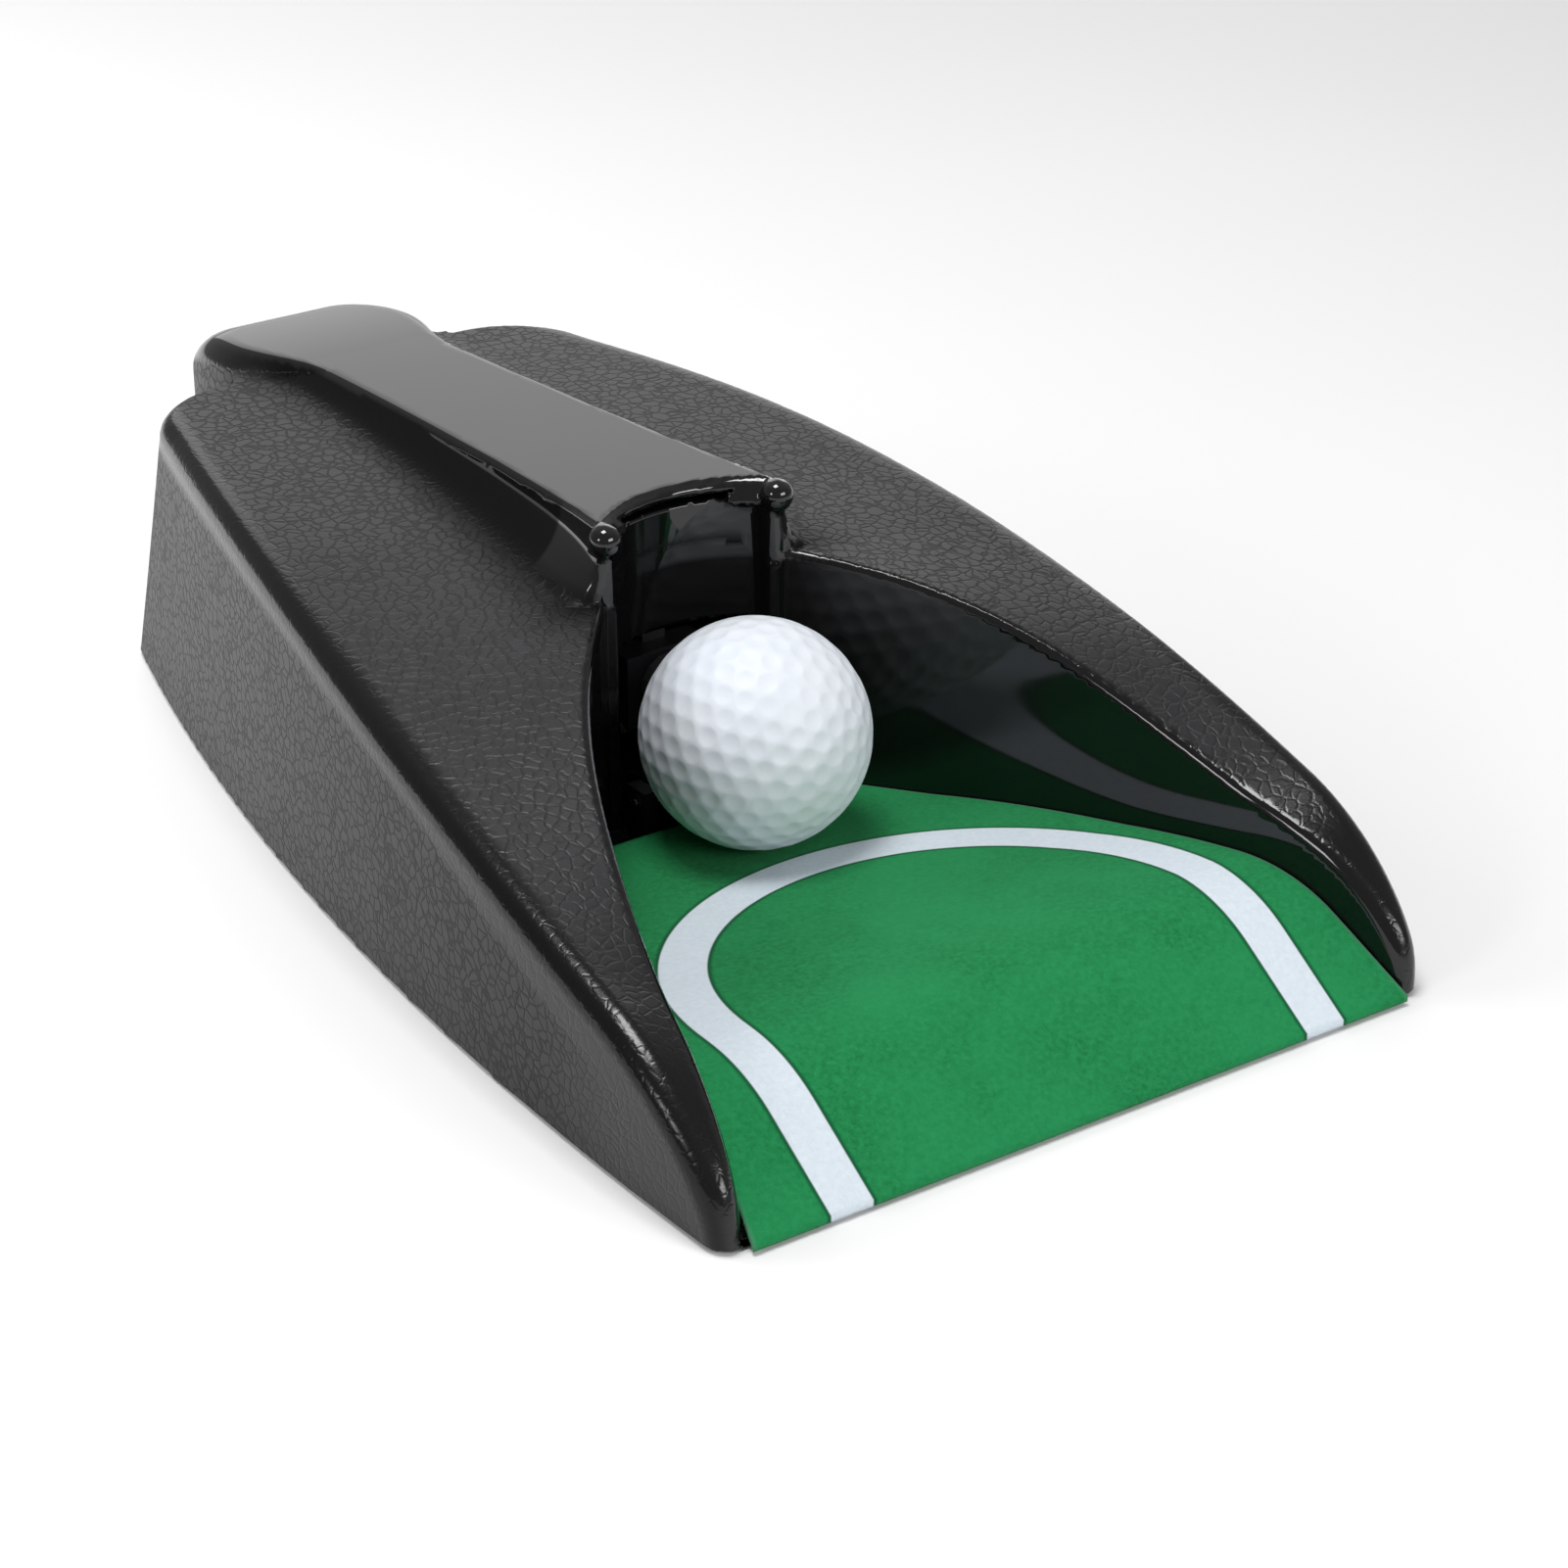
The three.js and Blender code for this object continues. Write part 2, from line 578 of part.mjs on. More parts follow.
// The door fills the bay opening. It hinges at its front edge and has a finger latch at the back.
function batteryDoor() {
  const half = BAY_HALF_WIDTH - GAP * 1.5;
  const hinge = [BAY_FRONT + DOOR_HINGE_RADIUS + 0.8, BASE_BOTTOM + DOOR_HINGE_RADIUS];
  const panel = box([-half, half], [hinge[0], BAY_BACK - 1], [BASE_BOTTOM, BASE_BOTTOM + 1.5]);
  const knuckle = rodAlongX(hinge, DOOR_HINGE_RADIUS, [-half, half], 12);
  const gripHeights = [BASE_BOTTOM - 0.8, BASE_BOTTOM + 0.2];
  const grip = box([-9, 9], [BAY_BACK - 7, BAY_BACK - 3.5], gripHeights);
  return join(panel, knuckle, grip);
}

function batteryCell(index) {
  const x = CELL_PITCH * (index - 1.5);
  const z = BASE_TOP + CELL_RADIUS + GAP;
  const cell = turned([
    [0, 0], [CELL_RADIUS, 0], [CELL_RADIUS, CELL_LENGTH - 1.4], [2.7, CELL_LENGTH - 1.4],
    [2.7, CELL_LENGTH], [0, CELL_LENGTH],
  ], 14);
  if (index % 2 === 1) cell.rotateZ(Math.PI).translate(0, CELL_LENGTH, 0);
  return cell.translate(x, CELL_FRONT, z);
}

// A strip of spring plate that links the cell ends, with a pressed tongue behind each cell.
function contactStrip(station, towards) {
  const half = 2 * CELL_PITCH - 1;
  const strip = box([-half, half], [station, station + 0.8], [BASE_TOP + 1, BASE_TOP + 9]);
  const tongues = [-1.5, -0.5, 0.5, 1.5].map((k) => box(
    [k * CELL_PITCH - 2, k * CELL_PITCH + 2],
    towards > 0 ? [station + 0.4, station + 1.6] : [station - 0.8, station + 0.4],
    [BASE_TOP + 4, BASE_TOP + 8],
  ));
  return join(strip, ...tongues);
}

function caseScrew([x, y]) {
  const screw = turned([
    [0, 0.3], [2.6, 0.3], [2.9, 0.9], [2.9, 1.6], [1.05, 1.6], [1.05, SCREW_LENGTH],
    [0, SCREW_LENGTH + 1],
  ], 8);
  return screw.rotateX(Math.PI / 2).translate(x, y, 0);
}

function rubberFoot([x, y]) {
  const top = BASE_BOTTOM - GAP;
  const chamfer = 0.6;
  const foot = turned([
    [0, 0], [FOOT_RADIUS - chamfer, 0], [FOOT_RADIUS, chamfer], [FOOT_RADIUS, top], [0, top],
  ], 16);
  return foot.rotateX(Math.PI / 2).translate(x, y, 0);
}

// ---------------------------------------------------------------- gears, plates and motor

// Outline of a spur gear around the origin. Teeth are trapezoids with some backlash.
function gearOutline(teeth, phase) {
  const pitch = GEAR_MODULE * teeth / 2;
  const tip = pitch + 0.8 * GEAR_MODULE;
  const root = pitch - 1.15 * GEAR_MODULE;
  const step = 2 * Math.PI / teeth;
  const corners = [[-0.25, root], [-0.12, tip], [0.12, tip], [0.25, root]];
  const points = [];
  for (let i = 0; i < teeth; i += 1) {
    for (const [turn, radius] of corners) {
      const angle = phase + (i + turn) * step;
      points.push([radius * Math.cos(angle), radius * Math.sin(angle)]);
    }
  }
  return points;
}

function gear(axis, teeth, phase, span) {
  return acrossX(polygon(gearOutline(teeth, phase)), span).translate(0, axis[0], axis[1]);
}

// The angle of a driven gear whose tooth gap faces a tooth of its driver.
function meshedPhase(fromAxis, fromTeeth, fromPhase, toAxis, toTeeth) {
  const line = Math.atan2(toAxis[1] - fromAxis[1], toAxis[0] - fromAxis[0]);
  const inTeeth = (line - fromPhase) * fromTeeth / (2 * Math.PI);
  const back = line + Math.PI;
  return back + (inTeeth + 0.5) * 2 * Math.PI / toTeeth;
}

const CAM_PHASE = 0;
const SECOND_PHASE = meshedPhase(CAM_AXIS, CAM_TEETH, CAM_PHASE, SECOND_AXIS, SMALL_TEETH);
const FIRST_PHASE = meshedPhase(SECOND_AXIS, LARGE_TEETH, SECOND_PHASE, FIRST_AXIS, SMALL_TEETH);
const PINION_PHASE = meshedPhase(FIRST_AXIS, LARGE_TEETH, FIRST_PHASE, MOTOR_AXIS, PINION_TEETH);
const CAM_GEAR_SPAN = [3.5, 7.5];
const SECOND_GEAR_SPAN = [8.5, 11.8];
const FIRST_GEAR_SPAN = [-1.5, 2.5];
const SECOND_GEAR_HUB = [3.2, 11.8];
const FIRST_GEAR_HUB = [-7, 11.8];

function bored(solid, axis) {
  return cut(solid, rodAlongX(axis, AXLE_HOLE, [-30, 30], 12));
}

// One lobe that lifts the hammer's tail once per turn, then lets it drop.
function camWheel() {
  const [station, height] = CAM_AXIS;
  const middle = THREE.MathUtils.degToRad(LOBE_REST_ANGLE);
  const at = (radius, angle) => [
    station + radius * Math.cos(angle), height + radius * Math.sin(angle),
  ];
  const lobe = new THREE.Shape();
  lobe.moveTo(...at(LOBE_BASE_RADIUS, middle - LOBE_HALF_ROOT));
  lobe.lineTo(...at(LOBE_RADIUS, middle - LOBE_HALF_TIP));
  lobe.lineTo(...at(LOBE_RADIUS, middle + LOBE_HALF_TIP));
  lobe.lineTo(...at(LOBE_BASE_RADIUS, middle + LOBE_HALF_ROOT));
  lobe.absarc(
    station, height, LOBE_BASE_RADIUS, middle + LOBE_HALF_ROOT,
    middle - LOBE_HALF_ROOT + 2 * Math.PI, false,
  );
  const solid = join(
    acrossX(lobe, HAMMER_SPAN),
    rodAlongX(CAM_AXIS, CAM_HUB_RADIUS, CAM_HUB, 14),
    gear(CAM_AXIS, CAM_TEETH, CAM_PHASE, CAM_GEAR_SPAN),
  );
  return bored(solid, CAM_AXIS);
}

function compoundGear(axis, phase, largeSpan, smallSpan, hub) {
  const solid = join(
    gear(axis, LARGE_TEETH, phase, largeSpan),
    gear(axis, SMALL_TEETH, phase, smallSpan),
    rodAlongX(axis, GEAR_HUB_RADIUS, hub, 12),
  );
  return bored(solid, axis);
}

function motorPinion() {
  const solid = join(
    gear(MOTOR_AXIS, PINION_TEETH, PINION_PHASE, FIRST_GEAR_SPAN),
    rodAlongX(MOTOR_AXIS, 2.4, [-3.5, -1.4], 10),
  );
  return cut(solid, rodAlongX(MOTOR_AXIS, SHAFT_HOLE, [-30, 30], 10));
}

function sidePlate(span, motorHole) {
  const outline = polygon([
    [150, BASE_TOP + GAP], [192, BASE_TOP + GAP], [192, 22], [240, 22], [240, 50], [222, 57],
    [170, 57], [150, 60], [141, 65], [129.6, 65], [129.6, 55.5], [143, 55], [152, 44],
  ]);
  const holes = [HAMMER_AXIS, CAM_AXIS, SECOND_AXIS, FIRST_AXIS].map(
    (axis) => rodAlongX(axis, AXLE_HOLE, [-30, 30], 12),
  );
  const spacerHoles = SPACER_PLACES.map((place) => rodAlongX(place, SPACER_HOLE, [-30, 30], 8));
  const shaftHole = rodAlongX(MOTOR_AXIS, motorHole, [-30, 30], 12);
  return cut(join(acrossX(outline, span)), ...holes, ...spacerHoles, shaftHole);
}

function plateSpacer(place) {
  return join(
    rodAlongX(place, SPACER_RADIUS, [PLATE_LEFT[1] + GAP, PLATE_RIGHT[0] - GAP], 10),
    rodAlongX(place, SPACER_END_RADIUS, [PLATE_LEFT[0] - 1, PLATE_RIGHT[1] + 1], 8),
  );
}

function axle(axis) {
  return rodAlongX(axis, AXLE_RADIUS, [PLATE_LEFT[0] - 0.5, PLATE_RIGHT[1] + 0.5], 12);
}

function motorCan() {
  const face = PLATE_LEFT[0] - GAP;
  const can = join(
    rodAlongX(MOTOR_AXIS, MOTOR_RADIUS, [face - MOTOR_LENGTH, face], 20),
    rodAlongX(MOTOR_AXIS, 3, [face - MOTOR_LENGTH - 1.5, face - MOTOR_LENGTH + 1], 12),
  );
  return cut(can, rodAlongX(MOTOR_AXIS, SHAFT_HOLE, [face - 8, face + 5], 10));
}

function motorShaft() {
  return rodAlongX(MOTOR_AXIS, SHAFT_RADIUS, [PLATE_LEFT[0] - 6, FIRST_GEAR_SPAN[1] + 0.5], 10);
}

// ---------------------------------------------------------------- hammer, trigger and switches

// The hammer hangs from its axle behind the mouth. Its tail reaches back over the cam wheel.
function hammerArm() {
  const [station, height] = HAMMER_AXIS;
  const arm = acrossX(polygon([
    [station - 3, height], [station - 2.6, 36], [station + 2, 36], [station + 3, height],
  ]), HAMMER_SPAN);
  const tail = acrossX(polygon([
    [station + 1, height + 3], [station + 28, height - 7], [station + 29, height - 9.5],
    [station + 27, height - 10], [station + 1, height - 4],
  ]), HAMMER_SPAN);
  const head = box([-9, 9], [HEAD_FRONT, HEAD_FRONT + 7], [26, 40]);
  const boss = rodAlongX(HAMMER_AXIS, 4, HAMMER_BOSS, 14);
  return bored(join(arm, tail, head, boss), HAMMER_AXIS);
}

function hammerPad() {
  return rodAlongY([0, 33], 6.5, [HEAD_FRONT - 2.8, HEAD_FRONT - GAP], 16);
}

// Torsion spring around the hammer's axle boss.
function hammerSpring() {
  const [station, height] = HAMMER_AXIS;
  const from = 3.6;
  const length = 5.4;
  const coil = new THREE.Curve();
  coil.getPoint = (t) => {
    const angle = Math.PI / 2 + SPRING_TURNS * 2 * Math.PI * t;
    const y = station + SPRING_COIL_RADIUS * Math.cos(angle);
    const z = height + SPRING_COIL_RADIUS * Math.sin(angle);
    return new THREE.Vector3(from + length * t, y, z);
  };
  return wireAlong(coil, SPRING_WIRE_RADIUS, 40);
}

function triggerLever() {
  const profile = polygon([
    [118.9, 22], [120.7, 22], [121.9, 16], [134.5, 13.6], [134.5, 11.6], [126, 11.5], [125, 10.4],
    [121, 10.4], [119.5, 12],
  ]);
  const pinHole = rodAlongX(TRIGGER_AXIS, TRIGGER_PIN_HOLE, [-20, 20], 12);
  return cut(join(acrossX(profile, [-5.5, 5.5])), pinHole);
}

function triggerPin() {
  return rodAlongX(TRIGGER_AXIS, TRIGGER_PIN_RADIUS, [-11.5, 11.5], 10);
}

function triggerSwitchCase() {
  const front = TRIGGER_SWITCH_STATION - 4.5;
  const shell = box([-6.4, 6.4], [front, front + 9.5], [BASE_TOP + GAP, 9.4]);
  return cut(join(shell), rodAlongZ([0, TRIGGER_SWITCH_STATION], 1.5, [6.5, 12], 10));
}

function triggerSwitchPlunger() {
  return rodAlongZ([0, TRIGGER_SWITCH_STATION], 1.1, [8.2, 11.1], 10);
}

function powerSwitchCase() {
  const shell = box([-8, 8], [LENGTH - 9.5, LENGTH - 3.4], [19, 28]);
  const slot = box([-5, 5], [LENGTH - 6, LENGTH], [21, 26]);
  return cut(join(shell), slot);
}

function powerSwitchKnob() {
  return join(
    box([-4.5, 0], [LENGTH - 5.5, LENGTH - 0.8], [21.5, 25.5]),
    box([-3.9, -0.6], [LENGTH - 1, LENGTH], [22.2, 24.8]),
  );
}

// A lead laid along a smooth curve through its route.
function lead(route) {
  const path = new THREE.CatmullRomCurve3(route.map((point) => new THREE.Vector3(...point)));
  return wireAlong(path, LEAD_RADIUS, 18);
}

const LEAD_ROUTES = {
  lead_battery_to_power_switch: [
    [12, 253.9, 8], [12, 253.9, 14], [11, 257, 18], [9, 263, 21], [6, 269, 23.5], [4, 273.6, 24],
  ],
  lead_power_switch_to_trigger_switch: [
    [-4, 273.6, 24], [-9, 266, 22], [-12, 258, 21], [-17, 250, 21.5], [-31, 240, 21],
    [-39, 214, 15], [-38, 190, 8], [-26, 150, 7], [-14, 139, 6.8], [-7.4, 133, 6.5],
  ],
  lead_trigger_switch_to_motor: [
    [7.4, 133, 6.5], [18, 142, 7], [22, 160, 9], [20, 184, 14], [19, 193.5, 20], [8, 197, 20.2],
    [-14, 199, 20.2], [-28, 206, 22], [-36.5, 214.5, 31],
  ],
  lead_motor_to_battery: [
    [-36.8, 232, 43], [-36, 241, 38], [-34, 247, 28], [-30, 252, 19], [-26, 253.9, 14],
    [-26, 253.9, 8],
  ],
};

// ---------------------------------------------------------------- assembly

const machine = new THREE.Group();
machine.position.y = -LENGTH / 2;

function addPiece(name, shape, look) {
  const geometry = shape.isBufferGeometry ? shape : toGeometry(shape);
  const mesh = new THREE.Mesh(geometry, new THREE.MeshStandardMaterial(look));
  mesh.name = name;
  machine.add(mesh);
}

addPiece('upper_housing', upperHousing(), BLACK_ABS);
addPiece('base_plate', basePlate(), BLACK_PLAIN);
addPiece('putting_felt', puttingFelt(), GREEN_FELT);
addPiece('golf_ball', golfBall(), WHITE_BALL);
FOOT_PLACES.forEach((place, i) => {
  addPiece(`rubber_foot_${i + 1}`, rubberFoot(place), BLACK_RUBBER);
});
SCREW_PLACES.forEach((place, i) => {
  addPiece(`case_screw_${i + 1}`, caseScrew(place), STEEL);
});

addPiece('battery_door', batteryDoor(), BLACK_PLAIN);
for (let i = 0; i < 4; i += 1) addPiece(`battery_cell_${i + 1}`, batteryCell(i), CELL_WRAP);
addPiece('battery_contact_front', contactStrip(BAY_FRONT + 1.2, 1), NICKEL);
addPiece('battery_contact_back', contactStrip(BAY_BACK - 3, -1), NICKEL);

addPiece('gearbox_plate_left', sidePlate(PLATE_LEFT, 4), BLACK_PLAIN);
addPiece('gearbox_plate_right', sidePlate(PLATE_RIGHT, AXLE_HOLE), BLACK_PLAIN);
SPACER_PLACES.forEach((place, i) => {
  addPiece(`gearbox_spacer_${i + 1}`, plateSpacer(place), STEEL);
});
addPiece('cam_axle', axle(CAM_AXIS), STEEL);
addPiece('second_gear_axle', axle(SECOND_AXIS), STEEL);
addPiece('first_gear_axle', axle(FIRST_AXIS), STEEL);
addPiece('hammer_axle', axle(HAMMER_AXIS), STEEL);
addPiece('cam_wheel', camWheel(), WHITE_ACETAL);
const secondGear = compoundGear(
  SECOND_AXIS, SECOND_PHASE, SECOND_GEAR_SPAN, CAM_GEAR_SPAN, SECOND_GEAR_HUB,
);
const firstGear = compoundGear(
  FIRST_AXIS, FIRST_PHASE, FIRST_GEAR_SPAN, SECOND_GEAR_SPAN, FIRST_GEAR_HUB,
);
addPiece('second_gear', secondGear, WHITE_ACETAL);
addPiece('first_gear', firstGear, WHITE_ACETAL);
addPiece('motor_pinion', motorPinion(), NICKEL);
addPiece('motor_shaft', motorShaft(), STEEL);
addPiece('motor', motorCan(), STEEL);

addPiece('hammer_arm', hammerArm(), DARK_GREY_ABS);
addPiece('hammer_pad', hammerPad(), BLACK_RUBBER);
addPiece('hammer_spring', hammerSpring(), STEEL);
addPiece('trigger_lever', triggerLever(), DARK_GREY_ABS);
addPiece('trigger_pin', triggerPin(), STEEL);
addPiece('trigger_switch_case', triggerSwitchCase(), BLACK_PLAIN);
addPiece('trigger_switch_plunger', triggerSwitchPlunger(), DARK_GREY_ABS);
addPiece('power_switch_case', powerSwitchCase(), BLACK_PLAIN);
addPiece('power_switch_knob', powerSwitchKnob(), DARK_GREY_ABS);
for (const [name, route] of Object.entries(LEAD_ROUTES)) {
  addPiece(name, lead(route), name.includes('motor') ? RED_LEAD : BLACK_LEAD);
}

const model = new THREE.Group();
model.name = 'putting_ball_return';
model.add(machine);

export default model;
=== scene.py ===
"""Looks of the automatic putting cup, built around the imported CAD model.

The moulded housing, the felt and the ball are made here as finer pieces that stand for their
CAD nodes. Every other CAD node stays and gets a procedural material.
Shapes are written in millimetres in the machine's own terms: x to the right, station (the
distance back from the front edge of the ramp) and height. They become metres at the end.
"""

import math
from functools import reduce

import bmesh
import bpy
import numpy as np
from mathutils import Matrix, Vector


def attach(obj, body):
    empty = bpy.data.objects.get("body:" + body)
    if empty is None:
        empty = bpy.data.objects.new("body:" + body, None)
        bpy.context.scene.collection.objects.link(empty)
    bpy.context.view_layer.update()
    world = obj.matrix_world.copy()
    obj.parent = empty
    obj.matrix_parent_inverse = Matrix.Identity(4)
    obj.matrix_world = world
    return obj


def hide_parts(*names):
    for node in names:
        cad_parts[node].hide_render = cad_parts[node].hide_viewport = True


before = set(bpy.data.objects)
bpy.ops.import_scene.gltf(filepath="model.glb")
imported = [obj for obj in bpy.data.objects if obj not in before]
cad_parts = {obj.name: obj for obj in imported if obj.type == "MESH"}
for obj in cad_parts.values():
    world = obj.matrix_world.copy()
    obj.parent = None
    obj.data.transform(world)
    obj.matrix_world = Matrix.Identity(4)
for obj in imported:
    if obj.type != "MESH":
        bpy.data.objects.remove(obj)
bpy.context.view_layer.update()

MM = 0.001
LENGTH = 284.0
HALF_LENGTH = LENGTH / 2

# ---------------------------------------------------------------- shape of the housing

WALL = 2.6
RIM_HEIGHT = 0.5
WIDEST_STATION = 30.0
GROUND_HALF_WIDTH, GROUND_ARC_RADIUS = 75.8, 833.0
RIDGE_HALF_WIDTH, RIDGE_ARC_RADIUS = 77.2, 735.0
RIDGE_ROUND = 4.3
NOSE_LENGTH = 34.0
TIP_ROUND = 5.0
BACK_TOP, BACK_LEAN, SHOULDER_LEVEL = 248.0, 18.0, 61.0
BACK_CORNER_TOP, BACK_CORNER_FLOOR = 15.0, 3.0
BACK_EDGE_ROUND = 3.0
BACK_EDGE_START, BACK_EDGE_END = 228.0, 243.0    # the ridge gets sharper here
SHOULDER_INNER_EDGE = 18.3      # closest that the slope of the shoulder comes to the hood
CHUTE_RIM_INSET = 1.5
HOOD_FRONT, HOOD_FLAT_END = 118.0, 256.0
HOOD_EDGE_ROUND = 1.3
POST_ROUND = 1.8
FILLET_FRONT, FILLET_BACK, FILLET_GROWTH = 3.0, 11.0, 18.0
MOUTH_HALF_WIDTH, MOUTH_ROOF, MOUTH_DEPTH, POCKET_BOTTOM = 16.5, 67.0, 130.0, 44.0
SCOOP_HALF_CHORD, SCOOP_RADIUS, SCOOP_CENTRE = 18.0, 25.35, 102.15
SCOOP_FLOOR = 57.0
MOUTH_FLOOR_DROP = 30.0        # the mouth is open through the deck
POCKET_SET_BACK, POCKET_WALL = 0.8, 2.3
POCKET_HALF_WIDTH, POCKET_TOP = 17.5, 68.0
POCKET_BLEND, BEAD_BLEND = 1.4, 0.4
LIP_ROUND, LIP_UNDER_ROUND = 1.5, 1.6
LIP_MIDDLE, LIP_LEAN, LIP_HALF_HEIGHT = 70.2, 0.5, 3.0
BEAD_RADIUS = 3.1
BEAD_PLACE = (18.8, 119.5, 69.0)
TAIL_HALF_WIDTH, TAIL_CORNER = 23.0, 12.0
TAIL_GROWTH_START, TAIL_GROWTH_END = 228.0, 256.0
TAIL_EDGE_SIDE, TAIL_EDGE_END = 6.0, 10.0
TAIL_BEND_START = 236.0
TAIL_SLOPE, TAIL_BEND = 0.055, 0.0013
RAMP_PLAY = 1.5                 # felt and its clearance, above the moulded deck
DECK_DEPTH = 3.9                # from the felt's top to the underside of the deck
DECK_END = 115.0
BLOCK_WALL, BLOCK_END = 3.25, 125.0    # plastic left standing around the chute
SHELL_CELL, SHELL_CELL_QUICK = 1.1, 1.5    # size of the grid that the housing is meshed on
RIM_ROUND, TIP_RIM_ROUND, TIP_RIM_END = 1.7, 4.0, 25.0


def smooth_profile(points):
    """A smooth curve through (station, value) points, read at any array of stations."""
    at = np.array([p[0] for p in points], float)
    value = np.array([p[1] for p in points], float)
    before = np.maximum(np.arange(len(at)) - 1, 0)
    after = np.minimum(np.arange(len(at)) + 1, len(at) - 1)
    slope = (value[after] - value[before]) / (at[after] - at[before])

    def read(station):
        i = np.clip(np.searchsorted(at, station) - 1, 0, len(at) - 2)
        span = at[i + 1] - at[i]
        t = np.clip((station - at[i]) / span, 0, 1)
        rise = value[i + 1] - value[i]
        start, end = span * slope[i], span * slope[i + 1]
        return (
            value[i]
            + t * start
            + t * t * (3 * rise - 2 * start - end)
            + t * t * t * (start + end - 2 * rise)
        )

    return read


inner_body = smooth_profile([
    (0, 26), (22, 25.6), (34, 27.8), (46, 32.8), (76, 46.6), (98, 54.4), (118, 58.6),
    (150, 60.6), (200, 62), (250, 62),
])
ridge_body = smooth_profile([
    (0, 22), (24, 28.7), (59, 38.7), (83, 44.9), (119, 52.5), (144, 56.6), (170, 59.6),
    (199, 61.2), (250, 61.5),
])
hood_top = smooth_profile([(118, 72.2), (162, 70.4), (220, 67.8), (258, 65.6)])
hood_half_width = smooth_profile([(118, 20), (140, 18), (170, 16.4), (220, 15), (284, 14)])
chute_half_width = smooth_profile([
    (0, 70.6), (22, 65.6), (50, 58.2), (77, 48.2), (98, 36.2), (118, 19.8),
])


def roof_height(station):
    """Top of the hood. Over the tail it bends down and goes on falling."""
    bend = np.maximum(station - TAIL_BEND_START, 0)
    straight = hood_top(np.clip(station, HOOD_FRONT, TAIL_BEND_START))
    return straight - bend * (TAIL_SLOPE + TAIL_BEND * bend)


def quadratic(a, b, c, steps=24):
    """Points of a quadratic curve from a to c, drawn towards b."""
    t = np.linspace(0, 1, steps + 1)[1:, None]
    return (1 - t) ** 2 * np.array(a) + 2 * t * (1 - t) * np.array(b) + t * t * np.array(c)


RAMP_PATH = np.vstack([
    [(-20, 1.9 - 20 * 0.65)],
    [(0, 1.9), (16, 12.3)],
    quadratic((16, 12.3), (25, 18.3), (36, 17.9)),
    quadratic((36, 17.9), (48, 17.2), (60, 15.6)),
    [(92, 12.6)],
    quadratic((92, 12.6), (101, 11.5), (118, 12.8)),
    [(300, 12.8)],
])


def ramp_height(station):
    return np.interp(station, RAMP_PATH[:, 0], RAMP_PATH[:, 1])


def round_max(a, b, radius):
    """Where two bounds meet, their edge is rounded off."""
    corner = np.hypot(np.maximum(a + radius, 0), np.maximum(b + radius, 0))
    return np.minimum(np.maximum(a, b), -radius) + corner


def round_min(a, b, radius):
    """Where two bodies join, their inner corner is filled."""
    return -round_max(-a, -b, radius)


def all_of(*bounds):
    """Inside only where every bound is."""
    return reduce(np.maximum, bounds)


def arc_half_width(station, half_width, radius):
    """Half width of a plan outline that is one wide arc."""
    along = station - WIDEST_STATION
    return half_width - radius + np.sqrt(radius * radius - along * along)


def share_between(value, start, end):
    """0 up to the start and 1 from the end, even in between. The start may be the higher one."""
    return np.clip((value - start) / (end - start), 0, 1)


def shoulder_top(x, station):
    """Height of the shoulder, before the nose takes it down."""
    ridge = arc_half_width(station, RIDGE_HALF_WIDTH, RIDGE_ARC_RADIUS) - RIDGE_ROUND
    inner = np.maximum(chute_half_width(station) - CHUTE_RIM_INSET, SHOULDER_INNER_EDGE)
    share = np.clip((ridge - x) / np.maximum(ridge - inner, 0.5), 0, 1)
    low = ridge_body(station)
    return low + (inner_body(station) - low) * share


def fillet_bound(x, z, side, top, level, radius):
    """Concave quarter arc from the side of the hood down to the shoulder beside it."""
    a = (x - side) / radius
    b = (z - level) / (top - level)
    return -round_max(-a, -b, 1.0) * np.minimum(radius, top - level)


def body_parts(x, station, z):
    """Level of the shoulder, and the bounds of its wall, side and top: negative inside."""
    level = shoulder_top(x, station)
    floor_station = np.minimum(station, BACK_TOP + BACK_LEAN)
    ground = arc_half_width(floor_station, GROUND_HALF_WIDTH, GROUND_ARC_RADIUS)
    ridge = arc_half_width(station, RIDGE_HALF_WIDTH, RIDGE_ARC_RADIUS)
    rise = np.clip(z / np.maximum(ridge_body(station) - RIDGE_ROUND, 1), 0, 1)
    side = x - (ground + (ridge - ground) * rise)
    back = station - BACK_TOP - BACK_LEAN * np.maximum(1 - z / SHOULDER_LEVEL, 0)
    corner_share = share_between(z, 0, SHOULDER_LEVEL)
    corner = BACK_CORNER_FLOOR + (BACK_CORNER_TOP - BACK_CORNER_FLOOR) * corner_share
    wall = round_max(side, back, corner)
    wall = round_max(wall, -station, TIP_ROUND)
    nose = np.maximum(1 - station / NOSE_LENGTH, 0)
    top = level * (np.hypot(z / level, nose) - 1)
    return level, wall, side, top


def tail_edge(station):
    """How far the tail has grown out of the hood, and the radius of its top edge."""
    grown = share_between(station, TAIL_GROWTH_START, TAIL_GROWTH_END)
    grown = grown * grown * (3 - 2 * grown)
    along = share_between(station, HOOD_FLAT_END, LENGTH)
    edge = HOOD_EDGE_ROUND + (TAIL_EDGE_SIDE - HOOD_EDGE_ROUND) * grown
    return grown, edge + (TAIL_EDGE_END - TAIL_EDGE_SIDE) * along**2


